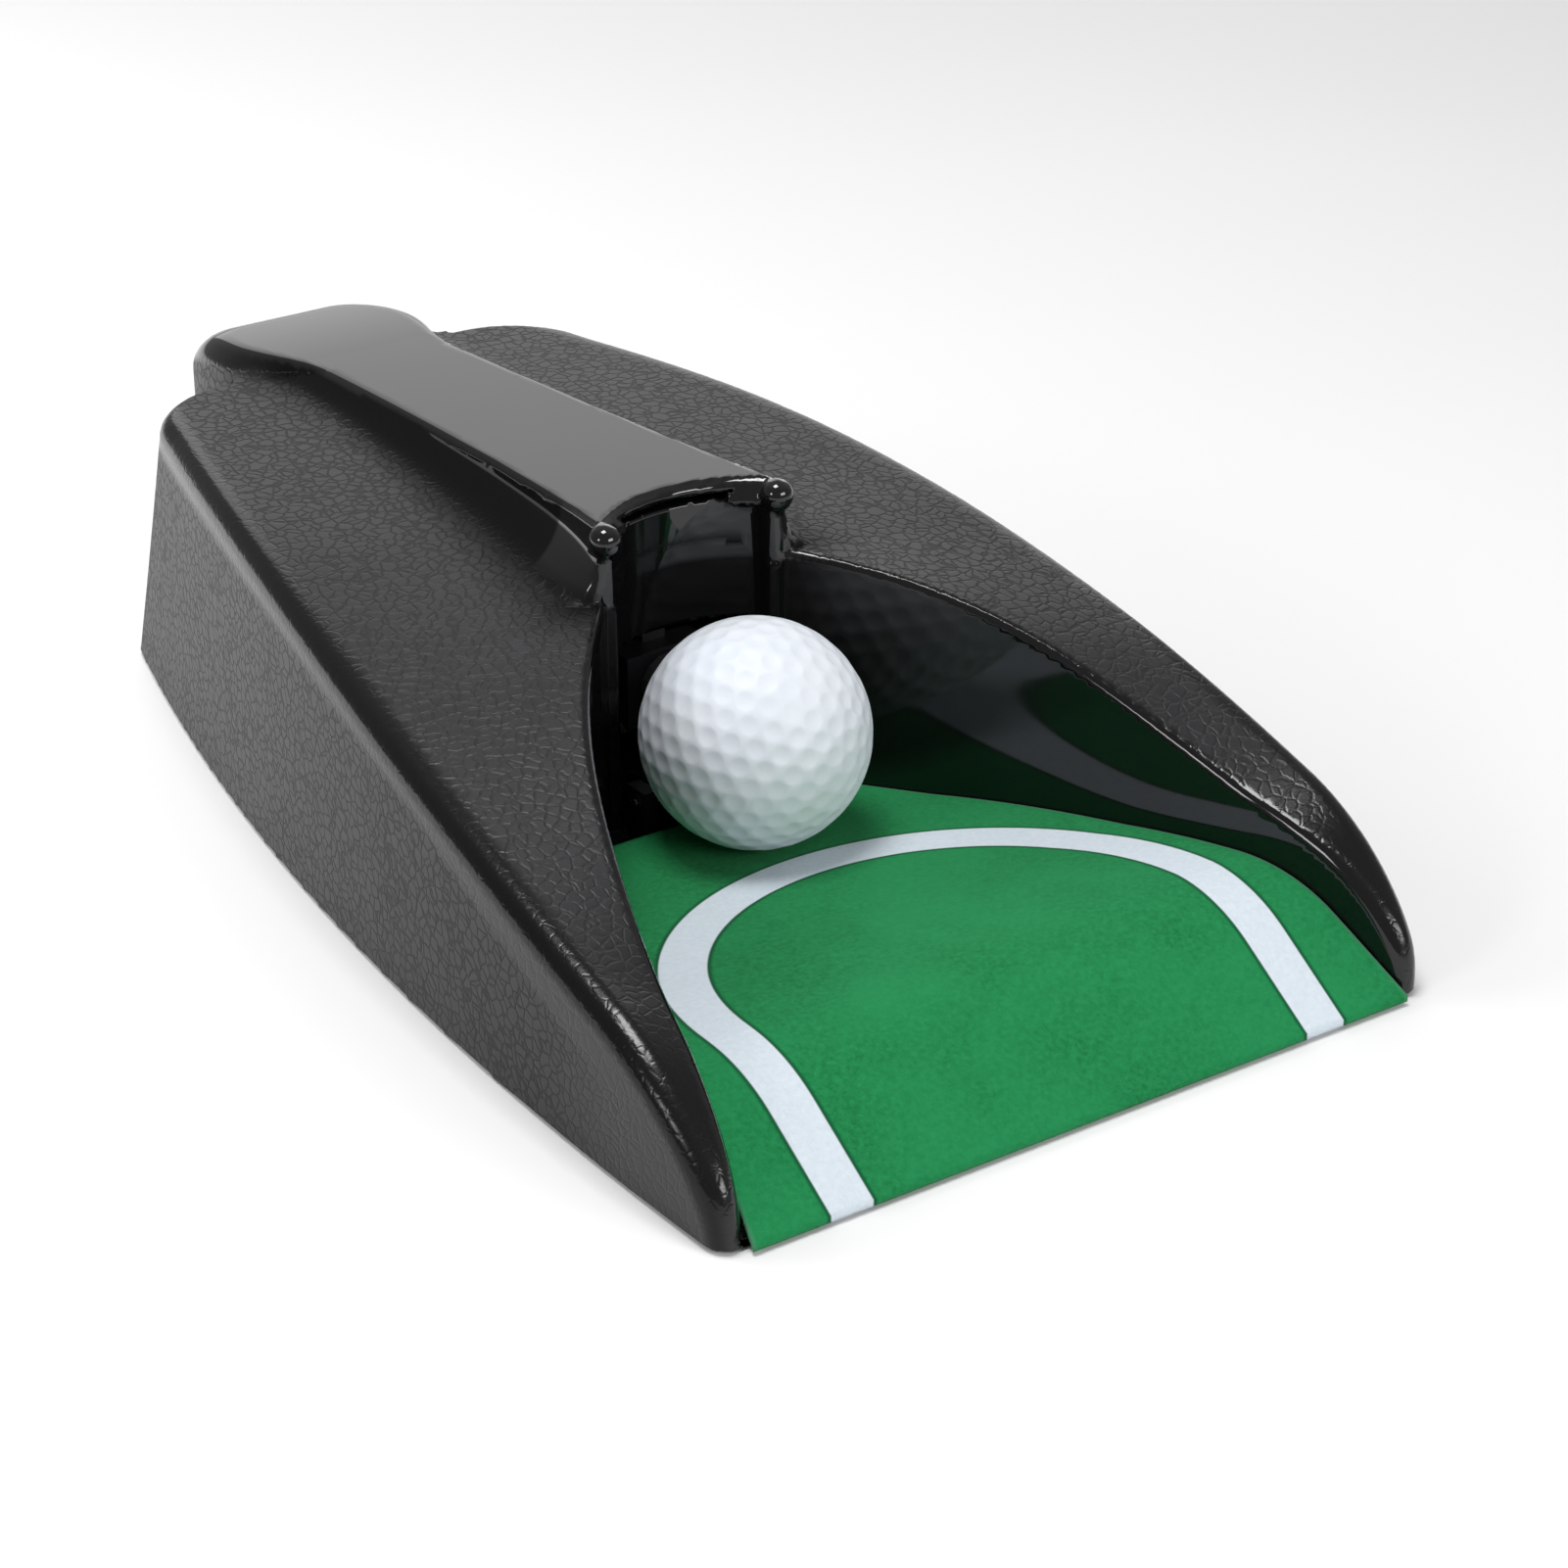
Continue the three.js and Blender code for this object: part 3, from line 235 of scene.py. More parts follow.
def tail_bound(x, station, z, roof):
    """Round-ended block behind the shoulders, with its top edge rounded off."""
    grown, edge = tail_edge(station)
    spine = hood_half_width(station)
    half_width = spine + (TAIL_HALF_WIDTH - spine) * grown
    across = np.maximum(x - half_width + TAIL_CORNER, 0) / TAIL_CORNER
    along = np.maximum(station - HOOD_FLAT_END, 0) / (LENGTH - HOOD_FLAT_END)
    reach = np.hypot(across, along)
    outline = np.where(reach > 0, (reach - 1) * TAIL_CORNER, x - half_width)
    tail = round_max(outline, z - roof, edge)
    return np.maximum(tail, TAIL_GROWTH_START - station)


def outer_bound(x, station, z):
    """Negative inside the closed outer shape: shoulders, hood and tail."""
    level, wall, _side, top = body_parts(x, station, z)
    sharper = share_between(station, BACK_EDGE_START, BACK_EDGE_END)
    ridge_round = RIDGE_ROUND - (RIDGE_ROUND - BACK_EDGE_ROUND) * sharper
    shoulders = round_max(wall, top, ridge_round)

    back_station = np.maximum(station, HOOD_FRONT)
    roof = roof_height(back_station)
    half_width = hood_half_width(back_station)
    growth = np.clip(1 - (station - HOOD_FRONT) / FILLET_GROWTH, 0, 1)
    radius = FILLET_FRONT + (FILLET_BACK - FILLET_FRONT) * np.sqrt(1 - growth * growth)
    hood = fillet_bound(x, z, half_width, roof, level, radius)
    hood = np.maximum(hood, x - half_width - radius)
    hood = round_max(hood, z - roof, HOOD_EDGE_ROUND)
    hood = round_max(hood, HOOD_FRONT - station, POST_ROUND)
    hood = np.maximum(hood, wall)
    body = np.minimum(shoulders, hood)

    return np.minimum(body, tail_bound(x, station, z, roof))


def scoop_back(x, z):
    """Front edge of the hood top. The lip leans back, so its face looks up a little."""
    rise = np.clip(z - LIP_MIDDLE, -LIP_HALF_HEIGHT, LIP_HALF_HEIGHT)
    radius = SCOOP_RADIUS + LIP_LEAN * rise
    return SCOOP_CENTRE + np.sqrt(np.maximum(radius**2 - x * x, 0))


def bead_bound(x, station, z):
    """Round glossy bead on each front corner of the hood."""
    bx, bs, bz = BEAD_PLACE
    return np.sqrt((x - bx) ** 2 + (station - bs) ** 2 + (z - bz) ** 2) - BEAD_RADIUS


def hollow_shell(x, station, z, outer, chute, ramp):
    """The skin of the outer shape, with the block that the chute is cut from."""
    block = all_of(x - chute - BLOCK_WALL, station - BLOCK_END, ramp - DECK_DEPTH - z)
    void = np.maximum(outer + WALL, -block)
    return np.maximum(outer, -void)


def mouth_air(x, station, z, ramp):
    """The opening under the hood that the hammer strikes through."""
    return all_of(
        x - MOUTH_HALF_WIDTH,
        DECK_END - station,
        station - MOUTH_DEPTH,
        z - MOUTH_ROOF,
        ramp - DECK_DEPTH - MOUTH_FLOOR_DROP - z,
    )


def pocket_bound(x, station, z):
    """Curved wall behind the ball, below the lip of the hood."""
    far = np.hypot(x, station - SCOOP_CENTRE)
    front = SCOOP_RADIUS + POCKET_SET_BACK
    return all_of(
        front - far,
        far - front - POCKET_WALL,
        POCKET_BOTTOM - z,
        z - POCKET_TOP,
        x - POCKET_HALF_WIDTH,
        SCOOP_CENTRE - station,
    )


def housing_bound(x, station, z):
    """Negative inside the plastic of the housing."""
    x = np.abs(x)
    outer = outer_bound(x, station, z)
    chute = chute_half_width(np.clip(station, 0, HOOD_FRONT))
    ramp = ramp_height(station)
    solid = hollow_shell(x, station, z, outer, chute, ramp)

    chute_air = all_of(x - chute, ramp - RAMP_PLAY - z, station - HOOD_FRONT)
    near_tip = share_between(station, TIP_RIM_END, 0)
    rim = RIM_ROUND + (TIP_RIM_ROUND - RIM_ROUND) * near_tip
    solid = round_max(solid, -chute_air, rim)
    solid = round_max(solid, -mouth_air(x, station, z, ramp), LIP_UNDER_ROUND)
    scoop_air = all_of(x - SCOOP_HALF_CHORD, station - scoop_back(x, z), SCOOP_FLOOR - z)
    solid = round_max(solid, -scoop_air, LIP_ROUND)

    solid = round_min(solid, pocket_bound(x, station, z), POCKET_BLEND)
    solid = round_min(solid, bead_bound(x, station, z), BEAD_BLEND)
    return np.maximum(solid, RIM_HEIGHT - z)


# ---------------------------------------------------------------- mesh from a bound

CORNERS = [(i, j, k) for i in (0, 1) for j in (0, 1) for k in (0, 1)]
SMALLEST_SLOPE = 0.04           # keeps a step finite where the bound is flat


def slope_of(bound, points, reach):
    """Gradient of the bound at each point."""
    slope = np.empty_like(points)
    for axis in range(3):
        step = np.zeros(3)
        step[axis] = reach
        ahead, behind = points + step, points - step
        slope[:, axis] = (bound(*ahead.T) - bound(*behind.T)) / (2 * reach)
    return slope


def settle_on_surface(bound, points, cell, rounds=5, reach=0.05):
    """Moves points along the slope of the bound until they lie on the surface."""
    for _ in range(rounds):
        value = bound(points[:, 0], points[:, 1], points[:, 2])
        slope = slope_of(bound, points, reach)
        square = np.maximum((slope**2).sum(1), SMALLEST_SLOPE)
        shift = np.clip(value / square, -0.5 * cell, 0.5 * cell)[:, None] * slope
        length = np.linalg.norm(shift, axis=1, keepdims=True)
        shift *= np.minimum(1, 0.4 * cell / np.maximum(length, 1e-9))
        points = points - shift
    return points


def net_of_surface(bound, low, high, cell):
    """Vertices and quads of the surface where the bound is zero, on a grid of cells."""
    axes = [np.arange(a, b + cell, cell) for a, b in zip(low, high)]
    grid = np.empty([len(a) for a in axes], np.float32)
    for i, x in enumerate(axes[0]):
        s, z = np.meshgrid(axes[1], axes[2], indexing="ij")
        grid[i] = bound(np.full_like(s, x), s, z)
    inside = grid < 0
    mixed = np.zeros([n - 1 for n in grid.shape], np.int8)
    for i, j, k in CORNERS:
        mixed += inside[i:grid.shape[0] - 1 + i, j:grid.shape[1] - 1 + j,
                        k:grid.shape[2] - 1 + k]
    cells = np.argwhere((mixed > 0) & (mixed < 8))
    number = np.full(mixed.shape, -1, np.int64)
    number[tuple(cells.T)] = np.arange(len(cells))
    total = np.zeros((len(cells), 3))
    count = np.zeros(len(cells))
    for a in CORNERS:
        for axis in range(3):
            if a[axis]:
                continue
            b = list(a)
            b[axis] = 1
            va = grid[tuple((cells + a).T)]
            vb = grid[tuple((cells + b).T)]
            cross = (va < 0) != (vb < 0)
            t = np.where(cross, va / np.where(cross, va - vb, 1), 0)
            place = np.tile(np.array(a, float), (len(cells), 1))
            place[:, axis] = t
            total += place * cross[:, None]
            count += cross
    points = np.array(low) + (cells + total / count[:, None]) * cell
    quads = []
    for axis in range(3):
        u, v = (axis + 1) % 3, (axis + 2) % 3
        first = [slice(None)] * 3
        second = [slice(None)] * 3
        first[axis], second[axis] = slice(0, -1), slice(1, None)
        a, b = inside[tuple(first)], inside[tuple(second)]
        for crossing, flip in ((a & ~b, False), (~a & b, True)):
            at = np.argwhere(crossing)
            at = at[(at[:, u] > 0) & (at[:, v] > 0)]
            ring = []
            for du, dv in ((-1, -1), (0, -1), (0, 0), (-1, 0)):
                spot = at.copy()
                spot[:, u] += du
                spot[:, v] += dv
                ring.append(number[tuple(np.minimum(spot, np.array(mixed.shape) - 1).T)])
            ring = np.stack(ring[::-1] if flip else ring, 1)
            quads.append(ring[(ring >= 0).all(1)])
    return points, np.vstack(quads)


def link_mesh(name, points, faces):
    """A mesh object from points in machine terms."""
    placed = np.array(points, float)
    placed[:, 1] -= HALF_LENGTH
    mesh = bpy.data.meshes.new(name)
    mesh.from_pydata((placed * MM).tolist(), [], [list(map(int, f)) for f in faces])
    mesh.update()
    made = bpy.data.objects.new(name, mesh)
    bpy.context.scene.collection.objects.link(made)
    return made


def shade_smooth(thing):
    thing.data.polygons.foreach_set("use_smooth", [True] * len(thing.data.polygons))


def add_attribute(thing, name, values):
    layer = thing.data.attributes.new(name, "FLOAT", "POINT")
    layer.data.foreach_set("value", np.asarray(values, np.float32))


# ---------------------------------------------------------------- materials


class Nodes:
    """Short words for building a node material."""

    def __init__(self, name, **values):
        self.material = bpy.data.materials.new(name)
        self.material.use_nodes = True
        self.tree = self.material.node_tree
        self.shader = self.tree.nodes["Principled BSDF"]
        for socket, value in values.items():
            self.shader.inputs[socket.replace("_", " ")].default_value = value

    def add(self, kind, **settings):
        node = self.tree.nodes.new("ShaderNode" + kind)
        for key, value in settings.items():
            if hasattr(node, key):
                setattr(node, key, value)
            else:
                node.inputs[key.replace("_", " ")].default_value = value
        return node

    def link(self, source, target):
        self.tree.links.new(source, target)

    def place(self):
        return self.add("TexCoord").outputs["Object"]

    def attribute(self, name):
        return self.add("Attribute", attribute_name=name).outputs["Fac"]

    def noise(self, scale, detail=4.0, roughness=0.55, place=None):
        node = self.add("TexNoise", Scale=scale, Detail=detail, Roughness=roughness)
        self.link(place or self.place(), node.inputs["Vector"])
        return node.outputs["Fac"]

    def maths(self, operation, a, b=0.0, clamp=False):
        node = self.add("Math", operation=operation, use_clamp=clamp)
        for value, socket in ((a, node.inputs[0]), (b, node.inputs[1])):
            if isinstance(value, (int, float)):
                socket.default_value = value
            else:
                self.link(value, socket)
        return node.outputs[0]

    def span(self, value, low, high, to_low=0.0, to_high=1.0, smooth=False):
        node = self.add("MapRange", interpolation_type="SMOOTHSTEP" if smooth else "LINEAR")
        self.link(value, node.inputs["Value"])
        for socket, number in (("From Min", low), ("From Max", high), ("To Min", to_low),
                               ("To Max", to_high)):
            node.inputs[socket].default_value = number
        return node.outputs["Result"]

    def mix(self, share, a, b):
        """Mixes two colours or links by a share."""
        node = self.add("Mix", data_type="RGBA")
        self.link(share, node.inputs[0])
        for value, socket in ((a, node.inputs[6]), (b, node.inputs[7])):
            if isinstance(value, tuple):
                socket.default_value = value
            else:
                self.link(value, socket)
        return node.outputs[2]

    def bump(self, height, distance, strength):
        node = self.add("Bump", Distance=distance)
        if isinstance(strength, float):
            node.inputs["Strength"].default_value = strength
        else:
            self.link(strength, node.inputs["Strength"])
        self.link(height, node.inputs["Height"])
        self.link(node.outputs["Normal"], self.shader.inputs["Normal"])


def grey(value, tint=0.0):
    return (value, value * (1 + tint * 0.4), value * (1 + tint), 1.0)


def housing_material():
    """Black ABS: glossy hood and chute, leather-grained shoulders, satin ridge band. The grain's
    creases, the ridge band and nose, the base of the hood and the front of the flank get darker
    colours as painted shade.
    """
    m = Nodes("black_abs", IOR=1.5)
    gloss = m.attribute("gloss")
    band = m.attribute("band")
    place = m.place()
    warp = m.add("VectorMath", operation="MULTIPLY_ADD")
    cloud = m.add("TexNoise", Scale=260.0, Detail=2.0)
    m.link(place, cloud.inputs["Vector"])
    m.link(cloud.outputs["Color"], warp.inputs[0])
    warp.inputs[1].default_value = (0.0022, 0.0022, 0.0022)
    m.link(place, warp.inputs[2])
    cells = m.add("TexVoronoi", feature="DISTANCE_TO_EDGE", Scale=420.0)
    m.link(warp.outputs[0], cells.inputs["Vector"])
    creases = m.span(cells.outputs["Distance"], 0.0, 0.16, smooth=True)
    grit = m.noise(2400.0, detail=3.0, place=place)
    height = m.maths("ADD", creases, m.maths("MULTIPLY", grit, 0.35))
    smooth_part = m.maths("MAXIMUM", gloss, m.maths("MULTIPLY", band, 0.75))
    strength = m.maths("MULTIPLY", m.maths("SUBTRACT", 1.0, smooth_part, clamp=True), 0.6)
    m.bump(height, 0.00016, strength)
    blotch = m.span(m.noise(45.0, detail=3.0, place=place), 0.3, 0.7)
    grained = m.mix(blotch, grey(0.013, 0.12), grey(0.019, 0.12))
    # painted shade: the creases of the grain get a darker colour
    crease_shaded = m.mix(creases, grey(0.011), grained)
    # painted shade: the ridge band and the nose get a darker colour
    band_shaded = m.mix(band, crease_shaded, grey(0.0035))
    # painted shade: darker colour and weaker reflection along the base of the hood and over the
    # front of the flank
    painted_shade = m.attribute("painted_shade")
    shaded = m.mix(painted_shade, band_shaded, grey(0.003))
    colour = m.mix(gloss, shaded, grey(0.0045))
    # weaker reflection where the painted shade lies
    m.link(m.span(painted_shade, 0.0, 1.0, 0.5, 0.10), m.shader.inputs["Specular IOR Level"])
    m.link(m.attribute("polish"), m.shader.inputs["Coat Weight"])
    m.link(colour, m.shader.inputs["Base Color"])
    dull = m.span(creases, 0.0, 1.0, 0.56, 0.42)
    satin = m.mix(band, dull, m.span(grit, 0.35, 0.65, 0.17, 0.26))
    shine = m.mix(gloss, satin, m.span(m.noise(90.0, place=place), 0.3, 0.7, 0.045, 0.075))
    m.link(shine, m.shader.inputs["Roughness"])
    return m.material


def felt_material():
    """Green felt with fine fibres, and a printed white line."""
    m = Nodes("putting_felt", Roughness=1.0, Sheen_Weight=0.04, Sheen_Roughness=0.5)
    m.shader.inputs["Specular IOR Level"].default_value = 0.1
    place = m.place()
    split = m.add("SeparateXYZ")
    m.link(place, split.inputs[0])
    behind = m.maths("MAXIMUM", m.maths("ADD", split.outputs["Y"], LINE_START * MM), 0.0)
    across = m.maths("POWER", split.outputs["X"], 2.0)
    squares = m.maths("ADD", across, m.maths("POWER", behind, 2.0))
    bow = m.maths("SUBTRACT", m.maths("SQRT", squares), LINE_MIDDLE * MM)
    away = m.maths("ABSOLUTE", bow)
    line_out, line_in = LINE_HALF_WIDTH + LINE_BLUR, LINE_HALF_WIDTH - LINE_BLUR
    line = m.span(away, line_out * MM, line_in * MM, smooth=True)
    edge_in, edge_out = (LINE_HALF_WIDTH + step for step in LINE_EDGE)
    edge = m.span(away, edge_out * MM, edge_in * MM, smooth=True)
    border = m.attribute("border")
    broad = m.span(m.noise(38.0, detail=3.0, place=place), 0.35, 0.65)
    fibre = m.noise(900.0, detail=6.0, roughness=0.7, place=place)
    tone = m.mix(broad, (0.009, 0.165, 0.046, 1), (0.015, 0.235, 0.075, 1))
    tone = m.mix(m.span(fibre, 0.35, 0.7), tone, (0.021, 0.275, 0.090, 1))
    tone = m.mix(edge, tone, (0.006, 0.100, 0.035, 1))
    white = m.mix(m.span(fibre, 0.3, 0.7), (0.64, 0.72, 0.79, 1), (0.74, 0.81, 0.87, 1))
    tone = m.mix(line, tone, white)
    tone = m.mix(border, tone, (0.07, 0.26, 0.14, 1))
    m.link(tone, m.shader.inputs["Base Color"])
    m.bump(fibre, 0.00025, 0.8)
    return m.material


def ball_material():
    """Painted white ball, faintly cloudy, with a very fine grain."""
    m = Nodes("ball_paint", Roughness=0.5)
    cloud = m.span(m.noise(60.0, detail=3.0), 0.3, 0.7)
    tone = m.mix(cloud, (0.74, 0.79, 0.86, 1), (0.80, 0.84, 0.89, 1))
    m.link(tone, m.shader.inputs["Base Color"])
    m.bump(m.noise(1600.0, detail=2.0), 0.00003, 0.5)
    return m.material


def plastic_material(name, colour, roughness, metallic=0.0):
    """Moulded plastic, rubber or metal with fine grain and slightly uneven gloss."""
    m = Nodes(name, Metallic=metallic)
    broad = m.span(m.noise(70.0, detail=3.0), 0.3, 0.7)
    fine = m.noise(1400.0, detail=4.0)
    darker = tuple(c * 0.75 for c in colour[:3]) + (1.0,)
    m.link(m.mix(broad, darker, colour), m.shader.inputs["Base Color"])
    m.link(m.span(fine, 0.3, 0.7, roughness * 0.85, min(roughness * 1.15, 1.0)),
           m.shader.inputs["Roughness"])
    m.bump(fine, 0.00006, 0.6)
    return m.material


# ---------------------------------------------------------------- pieces


GRID_LOW, GRID_HIGH = (-80.3, -3.0, -1.7), (80.3, 287.0, 76.0)
END_MARGIN = 0.1
NORMAL_REACH = 0.12

# Each pair holds where a finish or a painted shade starts and where it is complete, as a distance or
# a station.
CHUTE_GLOSS, CHUTE_GLOSS_END = (2.1, 1.3), HOOD_FRONT + 6
MOUTH_GLOSS_HALF_WIDTH, MOUTH_GLOSS_START, MOUTH_GLOSS_END = 20.0, HOOD_FRONT - 3, 135.0
HOOD_GLOSS, HOOD_GLOSS_START = (0.3, 2.5), HOOD_FRONT - 1
TAIL_GLOSS, TAIL_GLOSS_START = (1.0, 3.0), BACK_TOP - 2
TAIL_GLOSS_HALF_WIDTH = TAIL_HALF_WIDTH + 0.5
BAND_ON_FLANK, BAND_ON_SHOULDER = (-6.5, -4.0), (0.0, 2.5)
BAND_WIDTH, BAND_GROWTH, BAND_WIDENS = 8.0, 6.0, (95.0, 30.0)
NOSE_BAND = 50.0, 20.0
FOOT_GAP, FOOT_REACH, FOOT_GROWTH, FOOT_WIDENS = 2.0, 6.0, 12.0, (215.0, 135.0)
FOOT_FLOOR, FOOT_FADE, FOOT_ROOF_GAP = 40.0, 14.0, 0.9
FLANK_SHADE, FLANK_SHADE_EDGE, FLANK_SHADE_ALONG = 0.55, (-2.5, -1.0), (180.0, 60.0)
POLISH_START, POLISH_END, POLISH_HALF_WIDTH = HOOD_FRONT - 8, HOOD_FRONT + 16, 25.0
POLISH_BELOW_ROOF, POLISH_OFF_BEAD = (0.1, 0.6), (0.5, 0.0)


def gloss_share(x, s, z, level, roof):
    """Smooth and shiny: the chute and its rim, the mouth, the hood and the top of the tail."""
    chute = chute_half_width(np.clip(s, 0, HOOD_FRONT))
    in_chute = share_between(x - chute, *CHUTE_GLOSS) * (s < CHUTE_GLOSS_END)
    in_mouth = (x < MOUTH_GLOSS_HALF_WIDTH) & (z < level)
    in_mouth &= (s > MOUTH_GLOSS_START) & (s < MOUTH_GLOSS_END)
    on_hood = share_between(z - level, *HOOD_GLOSS) * (s > HOOD_GLOSS_START)
    behind = (s > TAIL_GLOSS_START) & (x < TAIL_GLOSS_HALF_WIDTH)
    _grown, edge = tail_edge(s)
    on_tail = share_between(z - roof + edge, *TAIL_GLOSS) * behind
    in_front = np.maximum(in_chute, in_mouth)
    return np.maximum(in_front, np.maximum(on_hood * ~behind, on_tail))


def band_share(s, side, top):
    """Satin band along the ridge, with a darker colour that is painted shade. It widens forward and
    covers the nose.
    """
    width = BAND_WIDTH + BAND_GROWTH * share_between(s, *BAND_WIDENS)
    on_ridge = np.minimum(
        share_between(side, *BAND_ON_FLANK),
        share_between(top + width, *BAND_ON_SHOULDER),
    )
    return np.maximum(on_ridge * (s < BACK_TOP), share_between(s, *NOSE_BAND))


def shade_share(x, s, z, side, roof):
    """Painted shade: darker in the hollow along the base of the hood, and over the front of the
    flank, darker towards the front.
    """
    away = x - hood_half_width(np.maximum(s, HOOD_FRONT)) - FOOT_GAP
    reach = FOOT_REACH + FOOT_GROWTH * share_between(s, *FOOT_WIDENS)
    # painted shade in the hollow along the base of the hood
    painted_shade = share_between(away, reach, 0) * (z > FOOT_FLOOR)
    painted_shade *= share_between(s, HOOD_FRONT - FOOT_FADE, HOOD_FRONT)
    painted_shade = painted_shade * painted_shade * (3 - 2 * painted_shade) * (z < roof - FOOT_ROOF_GAP)
    # painted shade over the front of the flank, darker towards the front
    on_flank = share_between(side, *FLANK_SHADE_EDGE)
    return np.maximum(painted_shade, on_flank * FLANK_SHADE * share_between(s, *FLANK_SHADE_ALONG))


def polish_share(x, s, z, gloss, roof):
    """Clear coat on the front of the hood and on its beads."""
    near = (s > POLISH_START) & (s < POLISH_END) & (z > SCOOP_FLOOR) & (x < POLISH_HALF_WIDTH)
    near = near * gloss * share_between(roof - z, *POLISH_BELOW_ROOF)
    return np.maximum(near, share_between(bead_bound(x, s, z), *POLISH_OFF_BEAD))


def housing_piece():
    """The moulded housing, with the shares of its finishes and of its painted shade stored at each
    point.
    """
    cell = SHELL_CELL
    points, quads = net_of_surface(housing_bound, GRID_LOW, GRID_HIGH, cell)
    points = settle_on_surface(housing_bound, points, cell)
    points[:, 2] = np.maximum(points[:, 2], RIM_HEIGHT)
    points[:, 1] = np.clip(points[:, 1], END_MARGIN, LENGTH - END_MARGIN)
    made = link_mesh("housing_shell", points, quads)
    shade_smooth(made)
    slope = slope_of(housing_bound, points, NORMAL_REACH)
    slope /= np.maximum(np.linalg.norm(slope, axis=1, keepdims=True), 1e-9)
    made.data.normals_split_custom_set_from_vertices(slope.tolist())

    x, s, z = np.abs(points[:, 0]), points[:, 1], points[:, 2]
    level, _wall, side, top = body_parts(x, s, z)
    roof = roof_height(s)
    gloss = gloss_share(x, s, z, level, roof)
    add_attribute(made, "gloss", gloss)
    # satin band along the ridge, its darker colour painted shade
    add_attribute(made, "band", band_share(s, side, top) * (1 - gloss))
    # painted shade along the base of the hood and on the front of the flank
    add_attribute(made, "painted_shade", shade_share(x, s, z, side, roof))
    add_attribute(made, "polish", polish_share(x, s, z, gloss, roof))

    made.data.materials.append(housing_material())
    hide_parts("upper_housing")
    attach(made, "housing")
    return made


FELT_SIDE_GAP, FELT_THICKNESS = 0.5, 1.2
FELT_START, FELT_END = 0.15, 112.0
FELT_BORDER = 0.7               # paler cut edge
LINE_CENTRE = 33.0              # the legs end here and the half circle starts
LINE_START = HALF_LENGTH - LINE_CENTRE
LINE_MIDDLE, LINE_HALF_WIDTH = 50.7, 4.2
LINE_BLUR = 0.2                 # half of the width that the line fades over
LINE_EDGE = 0.3, 1.1            # darker green just outside the line


def felt_piece():
    """The felt: a thin sheet glued along the ramp, cut to the chute."""
    columns, rows = 160, 140
    stations = np.linspace(FELT_START, FELT_END, rows + 1)
    share = np.linspace(-1, 1, columns + 1)
    half = chute_half_width(stations) - FELT_SIDE_GAP
    x = half[:, None] * share[None, :]
    s = np.repeat(stations[:, None], columns + 1, 1)
    z = ramp_height(s)
    lower = z - FELT_THICKNESS
    count = (rows + 1) * (columns + 1)
    top = np.stack([x, s, z], -1).reshape(-1, 3)
    under = np.stack([x, s, lower], -1).reshape(-1, 3)
    index = np.arange(count).reshape(rows + 1, columns + 1)
    a, b = index[:-1, :-1], index[:-1, 1:]
    c, d = index[1:, 1:], index[1:, :-1]
    faces = np.stack([a, b, c, d], -1).reshape(-1, 4)
    below = np.stack([a, d, c, b], -1).reshape(-1, 4) + count
    rim = np.concatenate([index[0, :], index[1:, -1], index[-1, -2::-1], index[-2:0:-1, 0]])
    after = np.roll(rim, -1)
    sides = np.stack([rim, rim + count, after + count, after], -1)
    made = link_mesh("putting_felt_sheet", np.vstack([top, under]), np.vstack([faces, below, sides]))
    shade_smooth(made)
    points = np.vstack([top, under])
    to_side = chute_half_width(points[:, 1]) - FELT_SIDE_GAP - np.abs(points[:, 0])
    border = share_between(to_side, FELT_BORDER, 0)
    add_attribute(made, "border", border)
    made.data.materials.append(felt_material())
    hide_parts("putting_felt")
    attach(made, "housing")
    return made


BALL_RADIUS = 21.335
BALL_STATION = 99.7
BALL_CLEARANCE = 0.15
DIMPLE_ROWS = 17
DIMPLE_RADIUS = 1.85
DIMPLE_DEPTH = 0.27
DIMPLE_SPREAD = 1.12            # spacing within a row, as a share of the spacing of the rows
DIMPLE_TIP, DIMPLE_ROLL = math.radians(62), math.radians(25)
BATCH = 4000                    # points handled at once, to keep memory low


def dimple_centres():
    """Unit directions of the dimples: even rows from pole to pole, tipped to hide the poles."""
    centres = []
    for row in range(DIMPLE_ROWS):
        tilt = math.pi * (row + 0.5) / DIMPLE_ROWS
        around = max(3, round(2 * DIMPLE_ROWS * math.sin(tilt) / DIMPLE_SPREAD))
        for i in range(around):
            turn = 2 * math.pi * (i + 0.5 * (row % 2)) / around
            centres.append((
                math.sin(tilt) * math.cos(turn),
                math.sin(tilt) * math.sin(turn),
                math.cos(tilt),
            ))
    tip = Matrix.Rotation(DIMPLE_TIP, 3, "X") @ Matrix.Rotation(DIMPLE_ROLL, 3, "Y")
    return np.array(centres) @ np.array(tip).T


def ball_piece():
    """The golf ball, with its dimples pressed into the mesh."""
    ball = bmesh.new()
    bmesh.ops.create_icosphere(ball, subdivisions=7, radius=1.0)
    directions = np.array([v.co for v in ball.verts])
    faces = [[v.index for v in f.verts] for f in ball.faces]
    ball.free()
    centres = dimple_centres()
    radius = np.full(len(directions), BALL_RADIUS)
    for start in range(0, len(directions), BATCH):
        part = directions[start:start + BATCH]
        angle = np.arccos(np.clip(part @ centres.T, -1, 1)).min(1)
        share = np.clip(angle * BALL_RADIUS / DIMPLE_RADIUS, 0, 1)
        radius[start:start + BATCH] -= DIMPLE_DEPTH * (1 - share**2)
    points = directions * radius[:, None]
    points[:, 1] += BALL_STATION
    points[:, 2] += ramp_height(BALL_STATION) + BALL_RADIUS + BALL_CLEARANCE
    made = link_mesh("golf_ball_dimpled", points, faces)
    shade_smooth(made)
    made.data.materials.append(ball_material())
    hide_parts("golf_ball")
    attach(made, "ball")
    return made


housing_piece()
felt_piece()
ball_piece()

# ---------------------------------------------------------------- finishes of the CAD nodes

